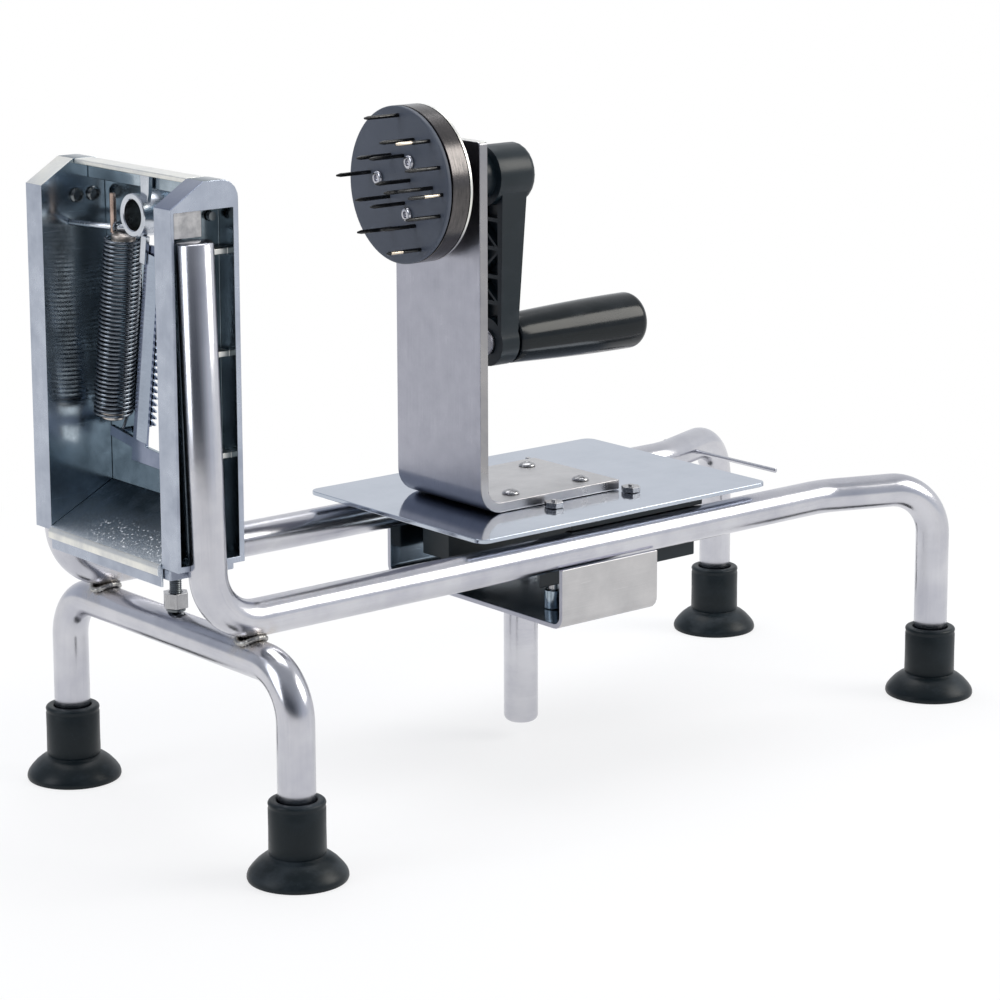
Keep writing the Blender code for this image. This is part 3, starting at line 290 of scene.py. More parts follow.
metal = {"Metallic": 1.0}
finishes = {"tube": newFinish("polished_tube", tubeSockets, metal),
            "chute": newFinish("chute_sheet", chuteSockets, metal)}
for key, look in metalLooks.items():
    finishes[key] = newFinish(key + "_metal", sheetSockets(look), metal)
for key, look in mouldedLooks.items():
    finishes[key] = newFinish(key + "_moulding", mouldedSockets(look), mouldedFixed[key])
print("finishes ready:", len(finishes))


# A piece from places in millimetres, with the grain beside each
def addPiece(name, verts, faces, grain, finish, body, stands=(), bevel=0.0, segments=2, limit=35):
    mesh = bpy.data.meshes.new(name)
    mesh.from_pydata([place(*vert) for vert in verts], [], faces)
    attribute = mesh.attributes.new("grain", "FLOAT_VECTOR", "POINT")
    attribute.data.foreach_set("vector", [part for spot in grain for part in spot])
    work = bmesh.new()
    work.from_mesh(mesh)
    bmesh.ops.recalc_face_normals(work, faces=work.faces)
    work.to_mesh(mesh)
    work.free()
    return settle(name, mesh, finish, body, stands, bevel, segments, limit)


def settle(name, mesh, finish, body, stands, bevel, segments, limit):
    piece = bpy.data.objects.new(name, mesh)
    bpy.context.scene.collection.objects.link(piece)
    mesh.materials.clear()
    mesh.materials.append(finishes[finish])
    mesh.polygons.foreach_set("use_smooth", [True] * len(mesh.polygons))
    if bevel:
        rounding = piece.modifiers.new("edges", "BEVEL")
        rounding.width = bevel * 0.001
        rounding.segments = segments
        rounding.limit_method = "ANGLE"
        rounding.angle_limit = math.radians(limit)
        rounding.harden_normals = True
    else:
        mesh.set_sharp_from_angle(angle=math.radians(limit))
    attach(piece, body)
    if stands:
        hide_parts(*stands)
    return piece


# Further finishes on a piece: each takes the faces that its test names by centre and normal
def paintAreas(piece, areas):
    mesh = piece.data
    for finish, test in areas:
        mesh.materials.append(finishes[finish])
        for face in mesh.polygons:
            centre = face.center * 1000
            if test(centre.x + stand["legToCentre"], centre.y, centre.z, face.normal):
                face.material_index = len(mesh.materials) - 1


# The broken edges of a piece in a finish of their own
def paintEdges(piece, finish):
    piece.data.materials.append(finishes[finish])
    piece.modifiers["edges"].material = len(piece.data.materials) - 1


def bodyOf(node):
    return frame["nodes"][node]["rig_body"]


# The solid's own shape with its edges broken; run names the axes that the brushing follows
def breakEdges(node, finish, bevel, run="x", segments=2, limit=35):
    work = bmesh.new()
    work.from_mesh(frame["nodes"][node].data)
    bmesh.ops.remove_doubles(work, verts=work.verts, dist=2e-6)
    bmesh.ops.dissolve_limit(work, angle_limit=math.radians(0.6), verts=work.verts, edges=work.edges)
    mesh = bpy.data.meshes.new(node + "_finished")
    work.to_mesh(mesh)
    work.free()
    for name in [item.name for item in mesh.attributes if not item.is_internal and not item.is_required]:
        if mesh.attributes[name].domain == "CORNER" and mesh.attributes[name].data_type != "INT":
            mesh.attributes.remove(mesh.attributes[name])
    attribute = mesh.attributes.new("grain", "FLOAT_VECTOR", "POINT")
    values = []
    for vert in mesh.vertices:
        spot = dict(zip("xyz", vert.co * 1000))
        values.append(sum(spot[axis] for axis in run) * 0.03)
        across = [spot[axis] for axis in "xyz" if axis not in run]
        values += (across + [0.0])[:2]
    attribute.data.foreach_set("vector", values)
    return settle(node + "_finished", mesh, finish, bodyOf(node), [node], bevel, segments, limit)


def toAxis(axis, along, first, second):
    return {"x": (along, first, second), "y": (first, along, second), "z": (first, second, along)}[axis]


# A profile of (along, radius) pairs turned about an axis
def turnPiece(name, profile, axis, centre, finish, body, stands=(), sides=48, bevel=0.0, limit=35, closed=False):
    verts, faces, grain, rings = [], [], [], []
    reach = 0.0
    for index, (along, radius) in enumerate(profile):
        if index:
            reach += math.dist((along, radius), profile[index - 1])
        ring = []
        for turn in range(sides if radius else 1):
            angle = math.tau * turn / sides
            ring.append(len(verts))
            spot = (centre[0] + radius * math.cos(angle), centre[1] + radius * math.sin(angle))
            verts.append(toAxis(axis, along, *spot))
            grain.append((math.cos(angle) * radius * 0.05, math.sin(angle) * radius * 0.05 + 7.0, reach))
        rings.append(ring)
    pairs = list(zip(rings, rings[1:])) + ([(rings[-1], rings[0])] if closed else [])
    for ring, other in pairs:
        for turn in range(sides):
            corners = [ring[turn % len(ring)], ring[(turn + 1) % sides % len(ring)],
                       other[(turn + 1) % sides % len(other)], other[turn % len(other)]]
            corners = list(dict.fromkeys(corners))
            if len(corners) > 2:
                faces.append(corners)
    return addPiece(name, verts, faces, grain, finish, body, stands, bevel, limit=limit)


def easedPath(corners, bends, steps=20):
    route = [Vector(corners[0])]
    for index in range(1, len(corners) - 1):
        here = Vector(corners[index])
        before = (Vector(corners[index - 1]) - here).normalized()
        after = (Vector(corners[index + 1]) - here).normalized()
        half = before.angle(after) / 2
        reach = bends[index - 1] / math.tan(half)
        middle = here + (before + after).normalized() * (bends[index - 1] / math.sin(half))
        first, last = here + before * reach - middle, here + after * reach - middle
        turn = first.angle(last)
        for step in range(steps + 1):
            share = step / steps
            blend = first * math.sin((1 - share) * turn) + last * math.sin(share * turn)
            route.append(middle + blend / math.sin(turn))
    route.append(Vector(corners[-1]))
    return route


# A round bar along a path, with domed ends
def sweepPiece(name, path, radius, finish, body, stands=(), sides=32, dome=0.6, loop=False):
    spots = [Vector(spot) for spot in path]
    verts, faces, grain = [], [], []
    normal, reach, rings = None, 0.0, []
    sizes = [radius] * len(spots)
    if not loop:
        first = spots[0] + (spots[1] - spots[0]).normalized() * dome
        last = spots[-1] + (spots[-2] - spots[-1]).normalized() * dome
        spots = [spots[0], first] + spots[1:-1] + [last, spots[-1]]
        sizes = [radius - dome] + [radius] * (len(spots) - 2) + [radius - dome]
    for index, spot in enumerate(spots):
        ahead = spots[(index + 1) % len(spots)] if loop or index + 1 < len(spots) else spot
        behind = spots[index - 1] if loop or index else spot
        tangent = (ahead - behind).normalized()
        if normal is None:
            normal = tangent.orthogonal().normalized()
        normal = (normal - tangent * normal.dot(tangent)).normalized()
        side = tangent.cross(normal)
        reach += (spot - spots[index - 1]).length if index else 0
        ring = []
        for turn in range(sides):
            angle = math.tau * turn / sides
            across = (sizes[index] * math.cos(angle), sizes[index] * math.sin(angle))
            ring.append(len(verts))
            verts.append(spot + normal * across[0] + side * across[1])
            grain.append((reach * 0.03, *across))
        rings.append(ring)
    for ring, other in list(zip(rings, rings[1:])) + ([(rings[-1], rings[0])] if loop else []):
        for turn in range(sides):
            after = (turn + 1) % sides
            faces.append([ring[turn], ring[after], other[after], other[turn]])
    if not loop:
        faces += [rings[0][::-1], rings[-1]]
    return addPiece(name, verts, faces, grain, finish, body, stands, limit=50)


def arcOf(centre, radius, start, end, steps=6):
    angles = [math.radians(start + (end - start) * step / steps) for step in range(steps + 1)]
    return [(centre[0] + radius * math.cos(angle), centre[1] + radius * math.sin(angle)) for angle in angles]


# Stand: rails, cross leg, welds, stop wire
def makeStand():
    s = stand
    for label, side in (("near", -1), ("far", 1)):
        y = side * s["railY"]
        corners = [(s["uprightX"] - s["lean"], y, s["uprightTop"]), (s["uprightX"], y, s["railZ"]),
                   (s["splayX"], y, s["railZ"]), (s["rightX"], side * s["rightY"], s["railZ"]),
                   (s["rightX"], side * s["rightY"], s["tubeEnd"])]
        route = easedPath(corners, (s["bend"], s["splayBend"], s["bend"]))
        sweepPiece(label + "_rail_tube", route, s["tube"], "tube", "frame", [label + "_rail"], sides=40, dome=0.8)
    corners = [(0, -s["leftY"], s["tubeEnd"]), (0, -s["leftY"], s["crossZ"]), (0, s["leftY"], s["crossZ"]),
               (0, s["leftY"], s["tubeEnd"])]
    route = easedPath(corners, (s["legBend"], s["legBend"]))
    sweepPiece("cross_leg_tube", route, s["tube"], "tube", "frame", ["cross_leg"], sides=40, dome=0.8)


weldBead = {"reachX": 6.0, "reachY": 5.4, "radius": 1.25, "ripples": 26, "lift": 0.22}


# A rippled bead that follows the saddle where a rail crosses the leg
def makeWeld(label, side):
    s, bead, rng = stand, weldBead, random.Random(5 + side)
    verts, faces, grain, path = [], [], [], []
    count, sides = bead["ripples"] * 3, 12
    for step in range(count):
        angle = math.tau * step / count
        x, y = bead["reachX"] * math.cos(angle), bead["reachY"] * math.sin(angle)
        upper = s["railZ"] - math.sqrt(s["tube"] ** 2 - y * y)
        lower = s["crossZ"] + math.sqrt(s["tube"] ** 2 - x * x)
        path.append(Vector((x, side * s["railY"] + y, (upper + lower) / 2)))
    for step, spot in enumerate(path):
        tangent = (path[(step + 1) % count] - path[step - 1]).normalized()
        normal = tangent.cross(Vector((0, 0, 1))).normalized()
        up = normal.cross(tangent)
        size = bead["radius"] * (1 + bead["lift"] * math.sin(step * math.tau / 3) * 0.5 + rng.uniform(-0.04, 0.04))
        for turn in range(sides):
            angle = math.tau * turn / sides
            verts.append(spot + (normal * math.cos(angle) + up * math.sin(angle)) * size)
            grain.append((step * 0.2, math.cos(angle), math.sin(angle)))
    for step in range(count):
        for turn in range(sides):
            after, ahead = (turn + 1) % sides, (step + 1) % count
            faces.append([step * sides + turn, step * sides + after, ahead * sides + after, ahead * sides + turn])
    addPiece(label + "_weld_bead", verts, faces, grain, "weld", "frame", [label + "_weld"], limit=60)


stopWire = {"x": 356.0, "inner": -3.0, "outer": 76.0, "radius": 1.1, "head": 2.6, "headLength": 2.0}


def makeStopWire():
    w = stopWire
    end = w["outer"] + w["headLength"]
    profile = [(w["inner"], 0), (w["inner"], w["radius"] * 0.6), (w["inner"] + 0.4, w["radius"]),
               (w["outer"], w["radius"]), (w["outer"], w["head"] - 0.3), (w["outer"] + 0.3, w["head"]),
               (end - 0.5, w["head"]), (end, w["head"] * 0.6), (end, 0)]
    turnPiece("stop_wire_rod", profile, "y", (w["x"], stand["railZ"]), "tube", "stop_pin", ["stop_wire"], sides=24)


foot = {"radius": 21.2, "sleeve": 12.1, "top": 33.9, "bore": 8.3, "floor": 8.7, "shoulder": 10.6}


# Suction foot: sleeve with a rolled rim, a step, then the cup with its thin lip
def makeFoot(name, x, y):
    f = foot
    profile = [(f["floor"], 0), (f["floor"], f["bore"]), (f["top"] - 1.2, f["bore"])]
    profile += arcOf((f["top"] - 0.9, f["bore"] + 1.0), 0.9, -90, 0, 4)
    profile += arcOf((f["top"] - 1.5, f["sleeve"] - 1.4), 1.4, 0, 90, 5)
    profile += [(f["top"] - 2.4, f["sleeve"] - 0.25), (f["top"] - 3.0, f["sleeve"] - 0.3),
                (f["top"] - 3.6, f["sleeve"] - 0.05),
                (22.0, f["sleeve"] - 0.1), (f["shoulder"] + 0.9, f["sleeve"]),
                (f["shoulder"] + 0.2, f["sleeve"] - 0.35), (f["shoulder"] - 0.3, f["sleeve"] + 0.15),
                (f["shoulder"] - 0.6, f["sleeve"] + 1.0), (9.3, 14.8), (7.4, 17.2), (5.0, 19.4),
                (3.2, 20.7), (1.9, 21.15), (1.0, 21.2), (0.2, 20.9), (0.0, 20.4), (0.0, 18.6), (0.5, 18.0),
                (1.9, 13.5), (2.9, 9.0), (3.8, 4.5), (4.2, 0)]
    turnPiece(name + "_cup", profile, "z", (x, y), "rubber", "frame", [name], sides=64, limit=40)


makeStand()
makeWeld("near", -1)
makeWeld("far", 1)
makeStopWire()
makeFoot("left_near_foot", 0, -stand["leftY"])
makeFoot("left_far_foot", 0, stand["leftY"])
makeFoot("right_near_foot", stand["rightX"], -stand["rightY"])
makeFoot("right_far_foot", stand["rightX"], stand["rightY"])
print("stand ready")

# Blade box
box = {"inner": 42.5, "pocketFront": -33.4, "pocketBack": -4.2, "pocketOut": 53.0, "ribs": (172.8, 215.0, 257.2),
       "rib": 1.6, "ribFront": -13.5, "clampLow": 263.9, "clampBack": -17.0, "clampOut": 45.0, "strapLow": 284.6,
       "carrierLow": 182.0, "wallTop": 287.0, "wallLower": 283.4, "windowTop": 280.0, "windowBand": 270.0,
       "windowLower": 257.0}


def inPocket(x, y, z):
    return box["inner"] < abs(y) < box["pocketOut"] and box["pocketFront"] < x < box["pocketBack"]


def onRib(x, y, z):
    return inPocket(x, y, z) and x > box["ribFront"] and min(abs(z - rib) for rib in box["ribs"]) < box["rib"]


def onClamp(x, y, z):
    return inPocket(x, y, z) and z > box["clampLow"] and x < box["clampBack"] and abs(y) > box["clampOut"]


def makeCheek(label, paintedLightSlant):
    piece = breakEdges(label + "_cheek", "front", 0.45, "z")
    # Painted shade on the faces within the box and in the pockets, painted highlight on the ribs; the chamfer takes the
    # finish the caller gives, painted shade on the near cheek and a painted highlight on the far one
    paintAreas(piece, [
        ("paintedShadeInside", lambda x, y, z, n: abs(n.y) > 0.7 and abs(y) < box["inner"]),
        ("paintedShadePocket", lambda x, y, z, n: inPocket(x, y, z)),
        ("paintedHighlight", lambda x, y, z, n: onRib(x, y, z)),
        ("clamp", lambda x, y, z, n: onClamp(x, y, z)),
        (paintedLightSlant, lambda x, y, z, n: n.x < -0.2 and n.z > 0.5)])


# The wall stops just under the strap. The food window stops lower than in the solid, as the photograph shows metal
# there, but above the height of the opening that the part states
def makeBackWall():
    # The whole back wall takes the painted shade finish of the box's interior
    piece = breakEdges("back_wall", "paintedShadeInside", 0.2, "z")
    for vert in piece.data.vertices:
        height = vert.co.z * 1000
        if height > box["wallTop"]:
            vert.co.z = box["wallLower"] * 0.001
        elif box["windowBand"] < height < box["windowTop"] + 1.0:
            vert.co.z -= (box["windowTop"] - box["windowLower"]) * 0.001


# A plate of one outline through its thickness
def prismPiece(name, outline, axis, start, end, finish, body, stands=(), bevel=0.3, limit=35):
    count = len(outline)
    verts = [toAxis(axis, along, *spot) for along in (start, end) for spot in outline]
    faces = [list(range(count)), list(range(count, 2 * count))[::-1]]
    faces += [(i, (i + 1) % count, count + (i + 1) % count, count + i) for i in range(count)]
    grain = [(z * 0.03, x, y) for x, y, z in verts]
    return addPiece(name, verts, faces, grain, finish, body, stands, bevel, limit=limit)


chute = {"back": -3.5, "backTop": 146.4, "sheet": 1.5, "front": -36.6, "fold": 2.6, "foldTop": 130.4, "foldEnd": 125.0,
         "skirtFront": -34.9, "low": 120.4, "under": 128.4, "halfY": 41.9}


# Floor sheet with a rounded fold at the front and a set-back skirt below it
def makeChute():
    c = chute
    middle = (c["front"] + c["fold"], c["foldTop"] - c["fold"])
    outline = [(c["back"], c["backTop"])] + arcOf(middle, c["fold"], 118, 180, 6)
    outline += [(c["front"], c["foldEnd"] + 0.5), (c["front"] + 0.5, c["foldEnd"]), (c["skirtFront"], c["foldEnd"]),
                (c["skirtFront"], c["low"]), (c["skirtFront"] + 1.2, c["low"]), (c["skirtFront"] + 1.2, c["under"]),
                (c["back"], c["backTop"] - c["sheet"])]
    piece = prismPiece("chute_sheet", outline, "y", -c["halfY"], c["halfY"], "chute", "frame", ["chute_floor"], 0.25)
    paintAreas(piece, [
        # Painted highlight on the lit face of the front fold
        ("paintedHighlight", lambda x, y, z, n: x < c["front"] + c["fold"] and n.x < -0.35 and z > c["foldEnd"]),
        ("front", lambda x, y, z, n: x < c["skirtFront"] + 2 and z <= c["foldEnd"] + 0.3)])


# The near cheek's chamfer gets painted shade, the far cheek's a painted highlight
makeCheek("near", "paintedLightSlant")
makeCheek("far", "paintedHighlight")
makeBackWall()
makeChute()
# The top strap is painted highlight and the blade carrier painted shade; the strap's underside and the carrier's lower
# part get a darker painted shade
for node, finish, bevel, run, edge in (
        ("top_strap", "paintedHighlight", 0.5, "y", None), ("base_plate", "front", 0.6, "y", None),
        ("blade_carrier", "paintedLightSlant", 0.3, "z", "blade"), ("flat_blade", "blade", 0.08, "y", None),
        ("comb_blade", "blade", 0.06, "y", None), ("base_stud_nut", "fastener", 0.4, "z", None),
        ("carrier_post_1", "fastener", 0.2, "z", None), ("carrier_post_2", "fastener", 0.2, "z", None)):
    piece = breakEdges(node, finish, bevel, run)
    if node == "top_strap":
        paintAreas(piece, [("paintedShadeInside", lambda x, y, z, n: z < box["strapLow"])])
    if node == "blade_carrier":
        paintAreas(piece, [("paintedShadeInside", lambda x, y, z, n: z < box["carrierLow"])])
    if edge:
        paintEdges(piece, edge)

coring = {"radius": 9.2, "wall": 2.7, "front": -17.0, "back": 4.0, "edge": 2.4, "edgeWall": 0.4, "lugFront": -14.2,
          "lugWidth": 3.8, "lugEdge": 2.7, "lugDrop": 20.0, "tilt": 8.8, "shift": 0.4, "hangerFront": -14.4,
          "hanger": ((-2.0, 284.8), (-2.4, 275.6), (-4.6, 274.4), (-6.6, 272.4), (-8.2, 277.0), (-8.8, 284.8))}


# Places on the leaning carrier, u across and v up from the crank axis
def tilted(u, v):
    angle = math.radians(coring["tilt"])
    return (u * math.cos(angle) - v * math.sin(angle), stand["axisZ"] + u * math.sin(angle) + v * math.cos(angle))


def makeCoringTube():
    c, inner = coring, coring["radius"] - coring["wall"]
    profile = [(c["front"], inner + 0.4), (c["front"], c["radius"] - 0.4), (c["front"] + 0.4, c["radius"]),
               (c["back"] - c["edge"], c["radius"]), (c["back"], inner + c["edgeWall"]), (c["back"], inner),
               (c["front"] + 0.4, inner)]
    axis = (c["shift"], stand["axisZ"])
    piece = turnPiece("coring_ring", profile, "x", axis, "ring", "frame", ["coring_tube"], closed=True)
    paintAreas(piece, [("bore", lambda x, y, z, n: abs(n.x) < 0.7 and math.dist((y, z), axis) < inner + 0.3)])
    left, right, top = -c["lugEdge"] - c["lugWidth"], -c["lugEdge"], -c["radius"] + c["wall"] / 2
    corners = [tilted(left, top), tilted(left, -c["lugDrop"]), tilted(right, -c["lugDrop"]), tilted(right, top)]
    prismPiece("coring_hanger", c["hanger"], "x", c["hangerFront"], c["hangerFront"] + 2.0, "ring", "frame", (), 0.3)
    prismPiece("coring_lug", corners, "x", c["lugFront"], c["lugFront"] + 2.2, "ring", "frame", ["coring_tube"], 0.4)


stud = {"radius": 2.7, "foot": 4.2, "footHeight": 1.2, "low": 95.7, "high": 123.1, "pitch": 0.9, "depth": 0.35}


# A stud with a rolled thread, as rings close together
def makeStud():
    t = stud
    shoulder = t["low"] + t["footHeight"]
    profile = [(t["low"], 0), (t["low"], t["foot"]), (shoulder - 0.3, t["foot"]), (shoulder, t["foot"] - 0.3),
               (shoulder, t["radius"] - t["depth"])]
    along = shoulder + t["pitch"] / 2
    while along < t["high"] - t["pitch"]:
        profile += [(along, t["radius"]), (along + t["pitch"] / 2, t["radius"] - t["depth"])]
        along += t["pitch"]
    profile += [(t["high"], t["radius"] - t["depth"]), (t["high"], 0)]
    turnPiece("base_stud_thread", profile, "z", (0, 0), "socket", "frame", ["base_stud"], sides=24, limit=20)


wallScrew = {"places": ((-17.6, 271.4), (-9.2, 271.4)), "inner": 42.2, "head": 3.2, "radius": 1.8, "length": 1.6,
             "gap": 0.3, "socket": 1.9, "tail": 4.6}


# Round head with a socket
def makeWallScrew(label, side, number):
    w = wallScrew
    centre = w["places"][number]
    seat = side * (w["inner"] - w["gap"])
    front = seat - side * w["length"]
    end = side * (w["inner"] + w["tail"])
    profile = [(front + side * 1.1, 0), (front + side * 1.1, w["socket"]), (front, w["socket"] + 0.15),
               (front, w["head"] * 0.72), (front + side * 0.35, w["head"] * 0.9), (front + side * 0.8, w["head"]),
               (seat, w["head"]), (seat, w["radius"]), (end, w["radius"]), (end, 0)]
    node = "%s_wall_screw_%d" % (label, number + 1)
    turnPiece(node + "_head", profile, "y", centre, "socket", "frame", [node], sides=32)


makeStud()
for label, side in (("near", -1), ("far", 1)):
    for number in (0, 1):
        makeWallScrew(label, side, number)
makeCoringTube()

spring = {"x": -12.9, "topY": 13.6, "topDrop": 11.1, "pin": (11.4, -99.609), "bottomShift": 1.5, "bottomRise": 8.4,
          "radius": 7.9, "wire": 0.66, "curls": 42, "points": 20, "hookGap": 0.42, "pinRadius": 1.5, "pinGap": 0.3,
          "hookShift": 4.4, "hookReach": 2.4, "plug": 5.2, "plugRise": 2.2, "plugSink": 1.4, "plugSides": 32}
springRod = {"far": (-21.0, 41.9, 260.2), "radius": 1.3, "overhang": 1.6, "postY": 18.8, "postRadius": 1.4,
             "postLow": 257.7, "postHigh": 274.6}


# One wire wound round a leaning line, hooked over the rod above and the pin below
def makeSpring():
    s, r = spring, springRod
    pinY, pinZ = tilted(*s["pin"])
    top = Vector((s["x"], s["topY"], stand["axisZ"] - s["topDrop"]))
    bottom = Vector((s["x"], pinY - s["bottomShift"], pinZ + s["bottomRise"]))
    down = (bottom - top).normalized()
    across = Vector((1, 0, 0))
    side = down.cross(across)
    count = s["curls"] * s["points"]
    far = Vector(r["far"])
    near = Vector((s["x"], s["topY"], far.z))
    upper = near + (far - near) * s["hookReach"] / (far.y - near.y)
    hook = [upper + Vector((x, 0, z)) for x, z in arcOf((0, 0), r["radius"] + s["wire"] + s["hookGap"], 215, -35, 14)]
    coil = []
    for step in range(count + 1):
        angle = math.tau * step / s["points"]
        around = (across * math.cos(angle) + side * math.sin(angle)) * s["radius"]
        coil.append(top + (bottom - top) * step / count + around)
    lower = Vector((s["x"] + s["hookShift"], pinY, pinZ))
    foot = [lower + Vector((0, y, z)) for y, z in arcOf((0, 0), s["pinRadius"] + s["wire"] + s["pinGap"], 145, 395, 14)]
    sweepPiece("spring_wire", hook + coil + foot, s["wire"], "wire", "frame", ["tension_spring"], sides=8, dome=0.15)
    near += (near - far).normalized() * r["overhang"]
    for label, end, away in (("upper", top, -down), ("lower", bottom, down)):
        verts, grain, sides = [], [], s["plugSides"]
        for along, radius in ((-s["plugSink"], s["plug"]), (s["plugRise"] * 0.6, s["plug"]),
                              (s["plugRise"], s["plug"] * 0.6)):
            for turn in range(sides):
                angle = math.tau * turn / sides
                verts.append(end + away * along + (across * math.cos(angle) + side * math.sin(angle)) * radius)
                grain.append((math.cos(angle), math.sin(angle), along))
        faces = [list(range(sides)), list(range(2 * sides, 3 * sides))]
        faces += [(base + i, base + (i + 1) % sides, base + sides + (i + 1) % sides, base + sides + i)
                  for base in (0, sides) for i in range(sides)]
        addPiece("spring_plug_" + label, verts, faces, grain, "plug", "frame", (), 0.2)
    sweepPiece("spring_rod_bar", [far, near], r["radius"], "ring", "frame", ["spring_rod"], sides=20, dome=0.3)
    centre = far.lerp(near, (far.y - r["postY"]) / (far.y - near.y))
    profile = [(r["postLow"], 0), (r["postLow"], r["postRadius"] - 0.3), (r["postLow"] + 0.3, r["postRadius"]),
               (r["postHigh"] - 0.3, r["postRadius"]), (r["postHigh"], r["postRadius"] - 0.3), (r["postHigh"], 0)]
    turnPiece("spring_post", profile, "z", (centre.x, centre.y), "post", "frame", ["spring_rod"], sides=20)


makeSpring()
print("blade box ready")

# Carriage
channel = {"half": 63.2, "sheet": 2.2, "bottom": 69.9, "ends": (163.2, 220.6), "nearY": -61.0}
bracket = {"edgeLow": 134.0, "topLow": 280.0, "footHigh": 126.0, "footFront": 158.0}


def insideChannel(x, y, z, n):
    sheet = channel["sheet"] * 0.6
    along = channel["ends"][0] + 0.5 < x < channel["ends"][1] - 0.5
    return along and abs(y) < channel["half"] - sheet and z > channel["bottom"] + sheet


# Painted shade within the channel, painted highlight on the outer face of the near flange
channelAreas = [("paintedShadeInside", insideChannel), ("paintedHighlightWarm", lambda x, y, z, n: n.y < -0.3 and y < channel["nearY"])]
# Painted highlight on the bracket's top face and on its foot
bracketAreas = [("edge", lambda x, y, z, n: abs(n.y) > 0.7 and z > bracket["edgeLow"]),
                ("paintedHighlight", lambda x, y, z, n: n.z > 0.7 and z > bracket["topLow"]),
                ("paintedHighlightWarm", lambda x, y, z, n: z < bracket["footHigh"] and x > bracket["footFront"])]
for node, finish, bevel, run, areas in (
        ("carriage_plate", "mirror", 0.4, "x", ()), ("lower_channel", "brushed", 0.35, "x", channelAreas),
        ("bracket", "brushed", 0.5, "xz", bracketAreas),
        ("near_block", "arm", 0.6, "x", ()), ("far_block", "arm", 0.6, "x", ()),
        ("near_guide_screw_1", "fastener", 0.35, "z", ()), ("near_guide_screw_2", "fastener", 0.35, "z", ()),
        ("far_guide_screw_1", "fastener", 0.35, "z", ()), ("far_guide_screw_2", "fastener", 0.35, "z", ()),
        # The sleeves take the painted shade finish
        ("near_sleeve", "paintedShadeInside", 0.3, "z", ()), ("far_sleeve", "paintedShadeInside", 0.3, "z", ()),
        ("bush", "arm", 0.3, "x", ())):
    paintAreas(breakEdges(node, finish, bevel, run), areas)

rivet = {"x": (170.6, 212.7), "y": 19.0, "radius": 2.4, "head": 4.0, "rise": 1.7, "top": 124.2, "bottom": 116.7}


# Domed rivet with a punched dimple
def makeRivet(number, x, y):
    r = rivet
    profile = [(r["bottom"] - r["rise"], 0), (r["bottom"] - r["rise"], r["head"] * 0.6),
               (r["bottom"] - 0.7, r["head"] * 0.95),
               (r["bottom"], r["head"]), (r["bottom"], r["radius"]), (r["top"], r["radius"]), (r["top"], r["head"])]
    for angle in (15, 30, 45, 58, 68):
        turn = math.radians(angle)
        profile.append((r["top"] + r["rise"] * math.sin(turn), r["head"] * math.cos(turn)))
    profile += [(r["top"] + r["rise"] * 0.8, r["head"] * 0.3), (r["top"] + r["rise"] * 0.7, 0)]
    node = "rivet_%d" % number
    turnPiece(node + "_head", profile, "z", (x, y), "fastener", "carriage", [node], sides=32, limit=50)


handle = {"x": 192.6, "radius": 8.0, "bottom": 8.0, "top": 69.6, "round": 3.0}


def makeHandle():
    h = handle
    profile = [(h["bottom"], 0)]
    profile += arcOf((h["bottom"] + h["round"], h["radius"] - h["round"]), h["round"], 180, 90, 8)
    profile += [(h["top"] - 0.3, h["radius"]), (h["top"], h["radius"] - 0.3), (h["top"], 0)]
    turnPiece("push_handle_bar", profile, "z", (h["x"], 0), "tube", "carriage", ["push_handle"])


count = 0
for x in rivet["x"]:
    for side in (-1, 1):
        count += 1
        makeRivet(count, x, side * rivet["y"])
makeHandle()
print("carriage ready")

disc = {"front": 122.1, "radius": 35.1, "face": 2.2, "back": 136.8, "gap": 0.3, "bore": 5.3, "boreStart": 126.0,
        "tip": 103.2, "root": 124.7, "prong": 0.9, "rings": (8.6, 14.0, 20.5, 24.0, 31.0),
        "angles": ((160, 241, 319), (68, 106, 182), (11, 235, 285), (118, 177), (91, 136, 160, 182, 200, 240)),
        "ground": {13: (104.0, 112.0), 15: (112.0, 120.5), 17: (105.0, 113.0)}, "bands": (112.0, 120.5), "rim": 1.5,
        "screwRing": 14.0, "screwAngles": (8, 128, 241), "screw": 3.2, "screwRise": 1.3}


def onDisc(radius, angle):
    return (radius * math.cos(math.radians(angle)), stand["axisZ"] + radius * math.sin(math.radians(angle)))


